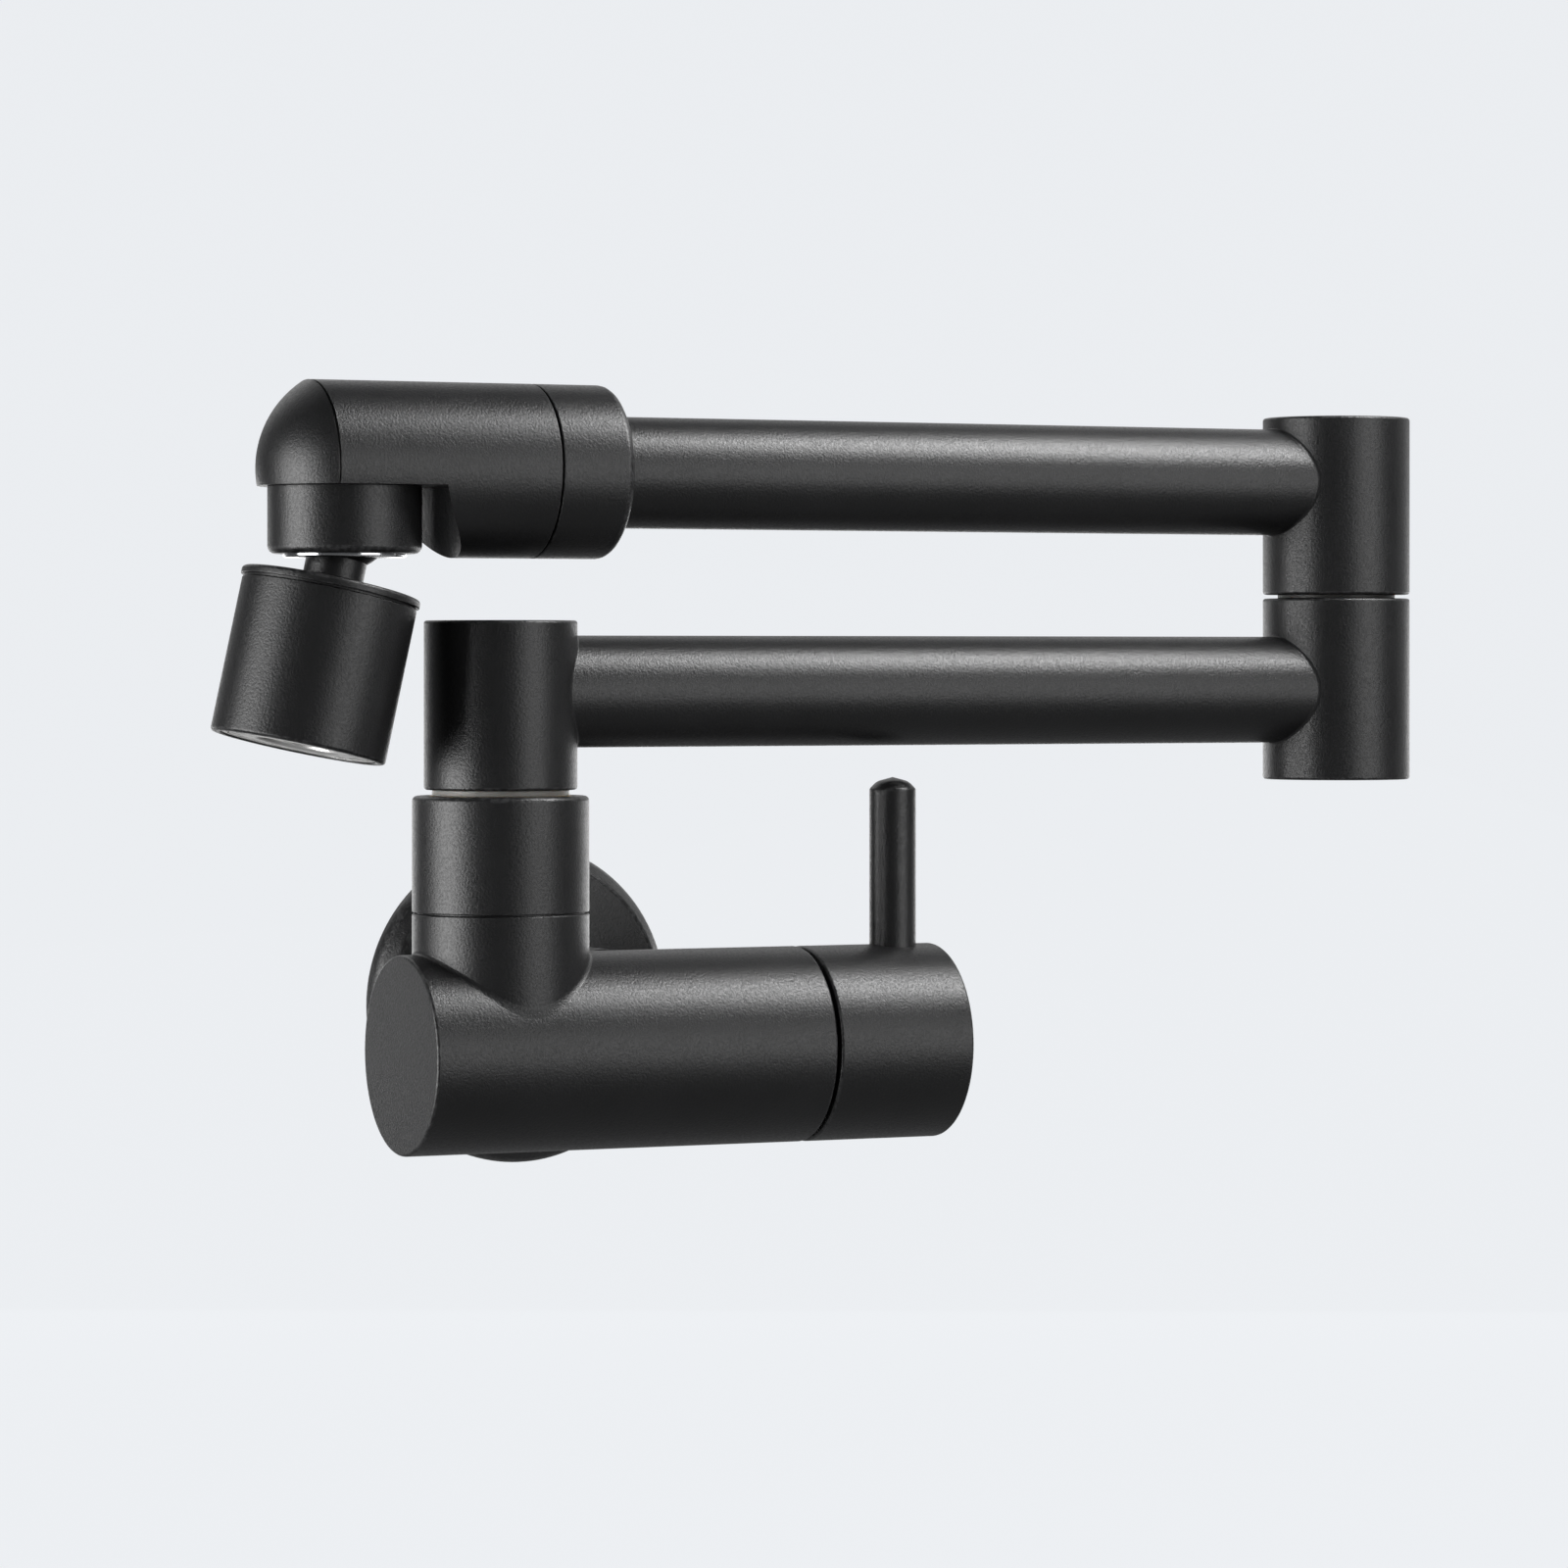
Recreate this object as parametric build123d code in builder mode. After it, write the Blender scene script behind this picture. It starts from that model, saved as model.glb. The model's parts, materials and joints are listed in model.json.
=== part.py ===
from build123d import *
import os
from math import asin, cos, degrees, radians, sin, sqrt

# Wall-mounted folding kitchen tap with two swinging arms, a side lever and a ball-jointed spray head.
# Frame: the origin is the middle of the flange on the wall, +X to the right along the wall,
# +Y into the wall and +Z up. All sizes are in millimetres.

# Fits
fixed_clearance = 0.05  # radial play between pieces that are screwed or pressed together
running_clearance = 0.05  # radial play of the turning fits
ring_clearance = 0.03  # play all round a sealing ring
hang_clearance = 0.4  # room between the folded spray and the arm hub when the spray hangs straight

# Overall places
standoff = 60.0  # wall to the barrel axis
inlet_offset = 28.1  # inlet axis to the boss axis, along the wall
inlet_rise = 6.0  # inlet axis above the barrel axis
lower_arm_length = 189.0  # hub axis to knuckle axis
rest_lean = 12.5  # degrees that the folded spray leans away from the hub

# Wall flange and inlet
flange_radius = 33.0
flange_rim = 3.0
flange_depth = 8.5
flange_dish = 2.0
flange_round = 2.2
flange_wall = 2.4
flange_land = 2.0
flange_play = 0.25
gasket_width = 5.0
gasket_thickness = 1.6
neck_radius = 13.0
neck_end_gap = 4.0
neck_ring_depth = 1.1
neck_ring_width = 2.2
inlet_thread_radius = 10.48
inlet_reach = 16.0
inlet_engagement = 14.0
inlet_washer_thickness = 1.5
inlet_key_size = 12.0
inlet_chamfer = 1.0
inlet_relief_depth = 0.9
inlet_relief_width = 2.5

# Valve body
barrel_radius = 19.5
barrel_left = 21.0
barrel_right = 63.9
boss_radius = 17.3
boss_height = 27.3
end_chamfer = 0.6
seam_chamfer = 0.25
saddle_round = 0.9
waterway_radius = 5.5
outlet_radius = 9.0
outlet_depth = 9.0

# Ceramic cartridge
cartridge_reach = 52.4
cartridge_thread_radius = 12.0
cartridge_thread_length = 16.0
cartridge_flange_radius = 14.0
cartridge_flange_thickness = 2.0
cartridge_hex_size = 22.0
cartridge_hex_height = 6.0
cartridge_ring_depth = 1.4
cartridge_ring_width = 2.2
chamber_radius = 11.2
seat_hole_radius = 6.0
seat_gasket_thickness = 1.5
nose_radius = 9.0
nose_wall = 1.5
window_width = 9.0
fixed_disc_thickness = 3.5
rotating_disc_thickness = 3.0
disc_hole_inner = 2.2
disc_hole_edge = 1.2
disc_hole_span = 78.0
driver_thickness = 3.0
driver_width = 5.0
driver_depth = 1.5
driver_play = 0.1
stem_radius = 4.5
stem_end_radius = 4.0
stem_flat = 0.8
stem_reach = 20.0
stem_ring_depth = 1.1
stem_ring_width = 2.0
stem_ring_pitch = 4.5
stem_ring_first = 6.0
clip_thickness = 0.9
clip_groove_depth = 0.4
clip_radius = 6.2
clip_opening = 70.0

# Handle
handle_gap = 0.8
handle_radius = 19.5
handle_length = 29.3
handle_cavity_radius = 15.6
handle_cavity_room = 1.2
lever_radius = 4.7
lever_top = 53.1
lever_seat = 12.0
lever_offset = 20.7
lever_tip_height = 2.4
lever_tip_crown = 0.8
lever_tip_round = 1.4
set_screw_radius = 2.5
set_screw_length = 9.0
set_screw_key = 2.5
set_screw_key_depth = 3.0

# Swivel spigots, used at the riser and at the knuckle
swivel_bore_radius = 9.0
spigot_bore_radius = 5.5
spigot_thread_radius = 10.0
spigot_height = 13.2
spigot_ring_depth = 1.5
spigot_ring_width = 2.0
spigot_ring_first = 7.6
spigot_ring_pitch = 3.1
retainer_screw_radius = 2.0
retainer_screw_rise = 3.8
retainer_screw_key = 2.0
retainer_screw_key_depth = 2.5
retainer_groove_depth = 1.5
retainer_tip_gap = 0.3
retainer_play = 0.3
washer_inset = 0.6

# Riser between the boss and the lower arm
riser_thread_length = 12.0
riser_shank_radius = 11.2
riser_flange_radius = 14.0
riser_flange_thickness = 3.2
riser_gap = 1.2
collar_radius = 17.3
collar_height = 22.9
collar_top_round = 1.0

# Arms
tube_radius = 11.0
tube_wall = 1.6
port_radius = 7.0
nipple_length = 14.0
hub_radius = 15.0
hub_height = 33.0
hub_tube_rise = 19.1
hub_top_wall = 5.0
joint_edge_chamfer = 0.6
knuckle_radius = 15.3
lower_knuckle_height = 37.7
lower_knuckle_tube_rise = 18.7
knuckle_floor = 5.0
knuckle_gap = 0.8
knuckle_thread_length = 8.5
knuckle_flange_radius = 12.2
knuckle_flange_thickness = 2.8
upper_knuckle_height = 36.9
upper_knuckle_tube_rise = 23.3

# Spout head
head_radius = 17.1
head_front = 7.7
head_back = 38.9
dome_height = 9.3
head_collar_length = 15.3
head_collar_round = 1.8
head_collar_floor = 2.5
head_thread_radius = 14.0
head_thread_length = 9.0
head_ring_depth = 1.8
head_ring_width = 2.6
head_bore_room = 0.5
head_waterway_radius = 5.0
head_waterway_rise = 4.5
flat_drop = 3.35
spot_face_radius = 22.3

# Ball joint
socket_radius = 14.9
socket_height = 13.1
socket_edge_round = 1.5
socket_thread_radius = 10.5
socket_thread_length = 4.7
socket_gasket_thickness = 1.5
socket_bore_radius = 8.6
socket_cavity_radius = 12.0
socket_roof = 1.95
ball_radius = 9.5
ball_drop = 6.8
ball_crown = 6.0
ball_bore_radius = 3.5
ball_neck_radius = 5.9
ball_foot_radius = 6.6
ball_foot_thickness = 0.9
seat_start = 1.2
retainer_start = 0.4
retainer_lip_radius = 8.6
retainer_flare = 0.8
retainer_proud = 0.7
retainer_chamfer = 0.4

# Spray head
spray_start = 12.3
spray_radius = 17.1
spray_length = 30.3
spray_lip = 0.4
spray_edge_chamfer = 0.7
cap_thickness = 1.6
cap_edge_round = 0.7
cap_groove = 0.4
cap_groove_depth = 0.8
cap_skirt_length = 7.4
cap_skirt_wall = 2.8
cap_floor = 1.8
cap_boss_wall = 3.6
stem_thread_radius = 5.0
stem_thread_length = 7.7
spray_wall = 1.85
spray_ring_offset = 1.8
spray_ring_depth = 1.2
spray_ring_width = 1.9
snap_ring_offset = 4.2
snap_ring_thickness = 1.0
snap_ring_depth = 0.8
snap_ring_play = 0.1
snap_ring_opening = 35.0
spray_gap = 0.1
plate_recess = 0.3
plate_thickness = 3.7
ledge_width = 1.2
ledge_thickness = 1.4
plate_bore_radius = 8.6
plate_lip = 1.0
plate_lip_thickness = 1.2
plate_hole_radius = 0.8
plate_hole_circle = 11.9
plate_hole_count = 16
insert_cell_pitch = 3.3
insert_cell_wall = 0.6
insert_rings = 2

# Main places, worked out from the sizes above
boss_x = -inlet_offset
barrel_y = -standoff
barrel_z = -inlet_rise
collar_top = boss_height + collar_height
hub_bottom = collar_top + riser_gap
lower_tube_height = hub_bottom + hub_tube_rise
lower_knuckle_bottom = lower_tube_height - lower_knuckle_tube_rise
lower_knuckle_top = lower_knuckle_bottom + lower_knuckle_height
upper_knuckle_bottom = lower_knuckle_top + knuckle_gap
upper_tube_height = upper_knuckle_bottom + upper_knuckle_tube_rise
spray_offset = hub_radius + spray_radius + hang_clearance
knuckle_x = boss_x + lower_arm_length
socket_x = boss_x - spray_offset
flat_height = upper_tube_height - flat_drop
ball_height = flat_height - ball_drop
lean = radians(rest_lean)

# Planes for turned profiles: the sketch's x is the radius, and its y runs along the turning axis
inlet_plane = Plane.XY
barrel_plane = Plane((boss_x, barrel_y, barrel_z), (0, 0, 1), (0, 1, 0))
boss_plane = Plane((boss_x, barrel_y, barrel_z), (1, 0, 0), (0, -1, 0))
knuckle_plane = Plane((knuckle_x, barrel_y, barrel_z), (1, 0, 0), (0, -1, 0))
socket_plane = Plane((socket_x, barrel_y, barrel_z), (1, 0, 0), (0, -1, 0))
lower_tube_plane = Plane((boss_x, barrel_y, barrel_z + lower_tube_height), (0, 0, 1), (0, 1, 0))
head_plane = Plane((socket_x, barrel_y, barrel_z + upper_tube_height), (0, 0, 1), (0, 1, 0))
spray_plane = Plane((socket_x, barrel_y, barrel_z + ball_height), (cos(lean), 0, -sin(lean)), (0, -1, 0))


def turning_axis(plane):
    """The axis that profiles on a turning plane are revolved about."""
    return Axis(plane.origin, plane.y_dir)


def square_to(plane, distance):
    """A plane square to a turning axis, this far along it, facing along it."""
    return Plane(plane.origin + plane.y_dir * distance, plane.x_dir, plane.y_dir)


def turned_ring(plane, inner, outer, start, end):
    """A plain ring about a turning axis."""
    with BuildPart() as ring:
        with BuildSketch(plane):
            Polygon((inner, start), (outer, start), (outer, end), (inner, end), align=None)
        revolve(axis=turning_axis(plane))
    return ring


def sealing_rings(plane, groove_radius, wall_radius, places):
    """Rubber rings between a groove and the wall beside it, with eight-sided sections to keep them light."""
    with BuildPart() as rings:
        with BuildSketch(plane):
            with Locations(*[((groove_radius + wall_radius) / 2, place) for place in places]):
                RegularPolygon(abs(wall_radius - groove_radius) / 2 - ring_clearance, 8)
        revolve(axis=turning_axis(plane))
    return rings


def groove(radius, depth, centre, width, step=1):
    """Profile points of a square groove in a turned wall, in the order in which the wall is drawn."""
    near = centre - step * width / 2
    far = centre + step * width / 2
    return [(radius, near), (radius - depth, near), (radius - depth, far), (radius, far)]


def grub_screw(plane, radius, start, length, key_size, key_depth):
    """A headless screw along a plane's normal, with a key socket in its outer end."""
    with BuildPart() as screw:
        with BuildSketch(plane.offset(start)):
            Circle(radius)
        extrude(amount=length)
        with BuildSketch(plane.offset(start + length)):
            RegularPolygon(key_size / 2, 6, major_radius=False)
        extrude(amount=-key_depth, mode=Mode.SUBTRACT)
    return screw


# Wall flange: a dished cover with a straight rim, sliding on the neck of the body
flange_bore = neck_radius + flange_play
flange_front = -flange_depth
flange_face = flange_front + flange_dish
with BuildPart() as wall_flange:
    with BuildSketch(inlet_plane) as flange_section:
        with BuildLine():
            Polyline(
                (flange_bore, flange_front),
                (flange_radius - flange_rim, flange_face),
                (flange_radius, -flange_rim),
                (flange_radius, 0),
                (flange_radius - flange_land, 0),
                (flange_radius - flange_land, -gasket_thickness),
                (flange_radius - flange_land - gasket_width, -gasket_thickness),
                (flange_radius - flange_land - gasket_width, flange_face + flange_wall),
                (flange_bore, flange_front + flange_wall),
                close=True,
            )
        make_face()
        fillet(flange_section.vertices().group_by(Axis.X)[-1].sort_by(Axis.Y)[0], flange_round)
    revolve(axis=turning_axis(inlet_plane))

wall_gasket = turned_ring(
    inlet_plane,
    flange_radius - flange_land - gasket_width + fixed_clearance,
    flange_radius - flange_land - fixed_clearance,
    -gasket_thickness,
    0,
)

# Ring in the neck that centres the flange and holds it against the wall
neck_ring_place = flange_front + flange_wall / 2
flange_o_ring = sealing_rings(inlet_plane, neck_radius - neck_ring_depth, flange_bore, [neck_ring_place])

# Inlet nipple: half of its thread is in the neck and half goes into the wall fitting
nipple_start = -neck_end_gap - inlet_engagement
nipple_length_total = inlet_reach - nipple_start
relief_place = -neck_end_gap + inlet_relief_width / 2
with BuildPart() as inlet_nipple:
    with BuildSketch(inlet_plane):
        Polygon(
            (0, nipple_start),
            (inlet_thread_radius - inlet_chamfer, nipple_start),
            (inlet_thread_radius, nipple_start + inlet_chamfer),
            *groove(inlet_thread_radius, inlet_relief_depth, relief_place, inlet_relief_width),
            (inlet_thread_radius, inlet_reach - inlet_chamfer),
            (inlet_thread_radius - inlet_chamfer, inlet_reach),
            (0, inlet_reach),
            align=None,
        )
    revolve(axis=turning_axis(inlet_plane))
    with BuildSketch(square_to(inlet_plane, nipple_start)):
        RegularPolygon(inlet_key_size / 2, 6, major_radius=False)
    extrude(amount=nipple_length_total, mode=Mode.SUBTRACT)

inlet_washer = turned_ring(
    inlet_plane,
    waterway_radius,
    inlet_thread_radius,
    nipple_start - inlet_washer_thickness,
    nipple_start,
)

# Places along the barrel, measured from the boss axis
seat_place = barrel_right - cartridge_reach
nose_start = seat_place + seat_gasket_thickness
rotating_disc_start = nose_start + fixed_disc_thickness
driver_start = rotating_disc_start + rotating_disc_thickness
driver_end = driver_start + driver_thickness
thread_start = barrel_right - cartridge_thread_length
cartridge_flange_end = barrel_right + cartridge_flange_thickness
hex_end = cartridge_flange_end + cartridge_hex_height
clip_end = hex_end + clip_thickness
stem_end = barrel_right + stem_reach
cartridge_bore = cartridge_thread_radius + fixed_clearance
cartridge_ring_place = barrel_right - cartridge_ring_width
riser_seat = boss_height - riser_thread_length

# Valve body: barrel, boss and neck in one casting
with BuildPart() as valve_body:
    with BuildSketch(barrel_plane):
        Polygon(
            (0, -barrel_left),
            (barrel_radius - end_chamfer, -barrel_left),
            (barrel_radius, -barrel_left + end_chamfer),
            (barrel_radius, barrel_right - end_chamfer),
            (barrel_radius - end_chamfer, barrel_right),
            (0, barrel_right),
            align=None,
        )
    revolve(axis=turning_axis(barrel_plane))
    with BuildSketch(square_to(boss_plane, 0)):
        Circle(boss_radius)
    extrude(amount=boss_height)
    fillet(valve_body.edges(Select.NEW), saddle_round)
    chamfer(valve_body.faces().sort_by(Axis.Z)[-1].edges(), seam_chamfer)
    with BuildSketch(Plane.XZ.offset(neck_end_gap)):
        Circle(neck_radius)
    extrude(amount=standoff - neck_end_gap)
    # Ring groove, thread and waterway of the neck
    with BuildSketch(inlet_plane):
        Polygon(
            *groove(neck_radius + neck_ring_depth, 2 * neck_ring_depth, neck_ring_place, neck_ring_width),
            align=None,
        )
    revolve(axis=turning_axis(inlet_plane), mode=Mode.SUBTRACT)
    with BuildSketch(Plane.XZ.offset(neck_end_gap)):
        Circle(inlet_thread_radius + fixed_clearance)
    extrude(amount=inlet_engagement + inlet_washer_thickness, mode=Mode.SUBTRACT)
    with BuildSketch(Plane.XZ.offset(neck_end_gap)):
        Circle(waterway_radius)
    extrude(amount=standoff - neck_end_gap, mode=Mode.SUBTRACT)
    # Cartridge chamber with its thread and seat
    with BuildSketch(barrel_plane):
        Polygon(
            (0, 0),
            (seat_hole_radius, 0),
            (seat_hole_radius, seat_place),
            (chamber_radius, seat_place),
            (chamber_radius, thread_start),
            (cartridge_bore, thread_start),
            (cartridge_bore, barrel_right),
            (0, barrel_right),
            align=None,
        )
    revolve(axis=turning_axis(barrel_plane), mode=Mode.SUBTRACT)
    # Outlet up through the boss, threaded for the riser
    with BuildSketch(boss_plane):
        Polygon(
            (0, -outlet_depth),
            (outlet_radius, -outlet_depth),
            (outlet_radius, riser_seat),
            (spigot_thread_radius + fixed_clearance, riser_seat),
            (spigot_thread_radius + fixed_clearance, boss_height),
            (0, boss_height),
            align=None,
        )
    revolve(axis=turning_axis(boss_plane), mode=Mode.SUBTRACT)

# Ceramic cartridge: housing, seat gasket, two discs, stem, clip and rings
disc_bore = nose_radius - nose_wall
disc_radius = disc_bore - fixed_clearance
stem_bore = stem_radius + running_clearance
with BuildPart() as cartridge_housing:
    with BuildSketch(barrel_plane):
        Polygon(
            (disc_bore, nose_start),
            (nose_radius, nose_start),
            (nose_radius, thread_start),
            (cartridge_thread_radius, thread_start),
            *groove(cartridge_thread_radius, cartridge_ring_depth, cartridge_ring_place, cartridge_ring_width),
            (cartridge_thread_radius, barrel_right),
            (cartridge_flange_radius, barrel_right),
            (cartridge_flange_radius, cartridge_flange_end),
            (stem_bore, cartridge_flange_end),
            (stem_bore, driver_end + running_clearance),
            (disc_bore, driver_end + running_clearance),
            align=None,
        )
    revolve(axis=turning_axis(barrel_plane))
    with BuildSketch(square_to(barrel_plane, cartridge_flange_end)):
        RegularPolygon(cartridge_hex_size / 2, 6, major_radius=False)
        Circle(stem_bore, mode=Mode.SUBTRACT)
    extrude(amount=cartridge_hex_height)
    # Two side windows beside the rotating disc
    with BuildSketch(Plane((boss_x, barrel_y, barrel_z))):
        with Locations(((rotating_disc_start + driver_end) / 2, 0)):
            Rectangle(driver_end - rotating_disc_start, window_width)
    extrude(amount=nose_radius + nose_wall, both=True, mode=Mode.SUBTRACT)

seat_gasket = turned_ring(barrel_plane, seat_hole_radius, nose_radius, seat_place, nose_start)
cartridge_o_ring = sealing_rings(
    barrel_plane, cartridge_thread_radius - cartridge_ring_depth, cartridge_bore, [cartridge_ring_place]
)


def disc_hole():
    """One water hole of a ceramic disc, a sector about the sketch's own x."""
    outer = disc_radius - disc_hole_edge
    half_span = radians(disc_hole_span / 2)
    with BuildSketch() as hole:
        with BuildLine():
            CenterArc((0, 0), disc_hole_inner, -disc_hole_span / 2, disc_hole_span)
            CenterArc((0, 0), outer, -disc_hole_span / 2, disc_hole_span)
            for side in (-1, 1):
                Line(
                    (disc_hole_inner * cos(half_span), side * disc_hole_inner * sin(half_span)),
                    (outer * cos(half_span), side * outer * sin(half_span)),
                )
        make_face()
    return hole.sketch


# The water holes of the two discs stand a quarter turn apart while the tap is shut
with BuildPart() as fixed_disc:
    with BuildSketch(square_to(barrel_plane, nose_start)):
        Circle(disc_radius)
        with PolarLocations(0, 2):
            add(disc_hole(), mode=Mode.SUBTRACT)
    extrude(amount=fixed_disc_thickness)

driver_length = 2 * (disc_radius - driver_play)
with BuildPart() as rotating_disc:
    with BuildSketch(square_to(barrel_plane, rotating_disc_start)):
        Circle(disc_radius - running_clearance)
        with PolarLocations(0, 2, start_angle=90):
            add(disc_hole(), mode=Mode.SUBTRACT)
    extrude(amount=rotating_disc_thickness)
    with BuildSketch(square_to(barrel_plane, driver_start)):
        Rectangle(2 * disc_radius, driver_width + 2 * driver_play)
    extrude(amount=-driver_depth, mode=Mode.SUBTRACT)

stem_ring_places = [thread_start + stem_ring_first + stem_ring_pitch * index for index in range(2)]
with BuildPart() as cartridge_stem:
    with BuildSketch(barrel_plane):
        Polygon(
            (0, driver_start),
            (stem_radius, driver_start),
            *groove(stem_radius, stem_ring_depth, stem_ring_places[0], stem_ring_width),
            *groove(stem_radius, stem_ring_depth, stem_ring_places[1], stem_ring_width),
            (stem_radius, hex_end),
            (stem_end_radius - clip_groove_depth, hex_end),
            (stem_end_radius - clip_groove_depth, clip_end),
            (stem_end_radius, clip_end),
            (stem_end_radius, stem_end),
            (0, stem_end),
            align=None,
        )
    revolve(axis=turning_axis(barrel_plane))
    # Driver bar in the slot of the rotating disc
    with BuildSketch(square_to(barrel_plane, driver_start - driver_depth)):
        Circle(driver_length / 2)
        Rectangle(driver_length, driver_width, mode=Mode.INTERSECT)
    extrude(amount=driver_depth + driver_thickness)
    # Flat for the handle's screw, on the underside
    flat_height_below_axis = stem_end_radius - stem_flat
    with BuildSketch(square_to(barrel_plane, clip_end)):
        with Locations((-stem_end_radius - flat_height_below_axis, 0)):
            Rectangle(2 * stem_end_radius, 2 * stem_end_radius)
    extrude(amount=stem_end - clip_end, mode=Mode.SUBTRACT)

stem_o_rings = sealing_rings(barrel_plane, stem_radius - stem_ring_depth, stem_bore, stem_ring_places)

with BuildPart() as stem_clip:
    with BuildSketch(barrel_plane):
        Polygon(
            (stem_end_radius - clip_groove_depth + fixed_clearance, hex_end),
            (clip_radius, hex_end),
            (clip_radius, clip_end),
            (stem_end_radius - clip_groove_depth + fixed_clearance, clip_end),
            align=None,
        )
    revolve(axis=turning_axis(barrel_plane), revolution_arc=360 - clip_opening)

# Handle: a turned hub over the cartridge, with a rod lever and a screw from below
handle_start = barrel_right + handle_gap
handle_end = handle_start + handle_length
cavity_end = clip_end + handle_cavity_room
lever_place = handle_start + lever_offset
screw_place = (cavity_end + stem_end) / 2
handle_x = boss_x + screw_place
with BuildPart() as handle_hub:
    with BuildSketch(barrel_plane):
        Polygon(
            (handle_cavity_radius, handle_start),
            (handle_radius - end_chamfer, handle_start),
            (handle_radius, handle_start + end_chamfer),
            (handle_radius, handle_end - end_chamfer),
            (handle_radius - end_chamfer, handle_end),
            (0, handle_end),
            (0, stem_end),
            (stem_end_radius + fixed_clearance, stem_end),
            (stem_end_radius + fixed_clearance, cavity_end),
            (handle_cavity_radius, cavity_end),
            align=None,
        )
    revolve(axis=turning_axis(barrel_plane))
    with BuildSketch(Plane((boss_x + lever_place, barrel_y, barrel_z + lever_seat))):
        Circle(lever_radius + fixed_clearance)
    extrude(amount=handle_radius, mode=Mode.SUBTRACT)
    with BuildSketch(Plane((handle_x, barrel_y, barrel_z), z_dir=(0, 0, -1))):
        Circle(set_screw_radius + fixed_clearance)
    extrude(amount=handle_radius, mode=Mode.SUBTRACT)

lever_plane = Plane((boss_x + lever_place, barrel_y, barrel_z), (1, 0, 0), (0, -1, 0))
with BuildPart() as lever_rod:
    with BuildSketch(lever_plane):
        Polygon(
            (0, lever_seat),
            (lever_radius - seam_chamfer, lever_seat),
            (lever_radius, lever_seat + seam_chamfer),
            (lever_radius, lever_top - lever_tip_height),
            (lever_radius - lever_tip_round, lever_top - lever_tip_crown),
            (lever_tip_round, lever_top),
            (0, lever_top),
            align=None,
        )
    revolve(axis=turning_axis(lever_plane))

handle_set_screw = grub_screw(
    Plane((handle_x, barrel_y, barrel_z), z_dir=(0, 0, -1)),
    set_screw_radius,
    flat_height_below_axis,
    set_screw_length,
    set_screw_key,
    set_screw_key_depth,
)

# Swivel spigots: a screw groove that keeps the arm on, then two sealing rings
spigot_radius = swivel_bore_radius - running_clearance
retainer_groove_width = 2 * (retainer_screw_radius + retainer_play)


def ring_places(base):
    """Heights of a spigot's two sealing rings above the foot of the arm that turns on it."""
    return [base + spigot_ring_first + spigot_ring_pitch * index for index in range(2)]


def spigot_outline(base):
    """Profile points of the part of a spigot that stands in the arm, from its shoulder to its top."""
    lower_ring, upper_ring = ring_places(base)
    return [
        *groove(spigot_radius, retainer_groove_depth, base + retainer_screw_rise, retainer_groove_width),
        *groove(spigot_radius, spigot_ring_depth, lower_ring, spigot_ring_width),
        *groove(spigot_radius, spigot_ring_depth, upper_ring, spigot_ring_width),
        (spigot_radius, base + spigot_height),
        (spigot_bore_radius, base + spigot_height),
    ]


def spigot_rings(plane, base):
    """The two sealing rings of a spigot."""
    return sealing_rings(plane, spigot_radius - spigot_ring_depth, swivel_bore_radius, ring_places(base))


def retainer_screw(plane, base, arm_radius):
    """The screw at the back of an arm that rides in the groove of its spigot."""
    start = spigot_radius - retainer_groove_depth + retainer_tip_gap
    back = Plane(plane.origin + plane.y_dir * (base + retainer_screw_rise), z_dir=(0, 1, 0))
    length = arm_radius - retainer_play - start
    return grub_screw(back, retainer_screw_radius, start, length, retainer_screw_key, retainer_screw_key_depth)


# Riser: the spigot is screwed into the boss and clamps the collar with its flange
riser_flange_bottom = collar_top - riser_flange_thickness
with BuildPart() as riser_spigot:
    with BuildSketch(boss_plane):
        Polygon(
            (spigot_bore_radius, riser_seat),
            (spigot_thread_radius, riser_seat),
            (spigot_thread_radius, boss_height),
            (riser_shank_radius, boss_height),
            (riser_shank_radius, riser_flange_bottom),
            (riser_flange_radius, riser_flange_bottom),
            (riser_flange_radius, collar_top),
            (spigot_radius, collar_top),
            *spigot_outline(hub_bottom),
            align=None,
        )
    revolve(axis=turning_axis(boss_plane))

with BuildPart() as riser_collar:
    with BuildSketch(boss_plane) as collar_section:
        Polygon(
            (riser_shank_radius + fixed_clearance, boss_height),
            (collar_radius - seam_chamfer, boss_height),
            (collar_radius, boss_height + seam_chamfer),
            (collar_radius, collar_top),
            (riser_flange_radius + fixed_clearance, collar_top),
            (riser_flange_radius + fixed_clearance, riser_flange_bottom),
            (riser_shank_radius + fixed_clearance, riser_flange_bottom),
            align=None,
        )
        fillet(collar_section.vertices().group_by(Axis.X)[-1].sort_by(Axis.Y)[-1], collar_top_round)
    revolve(axis=turning_axis(boss_plane))

riser_o_rings = spigot_rings(boss_plane, hub_bottom)
riser_glide_washer = turned_ring(
    boss_plane, swivel_bore_radius, riser_flange_radius - washer_inset, collar_top, hub_bottom
)

# Arms: hub and knuckles are turned castings with a side nipple that carries the tube
tube_bore = tube_radius - tube_wall
nipple_radius = tube_bore - fixed_clearance


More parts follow.
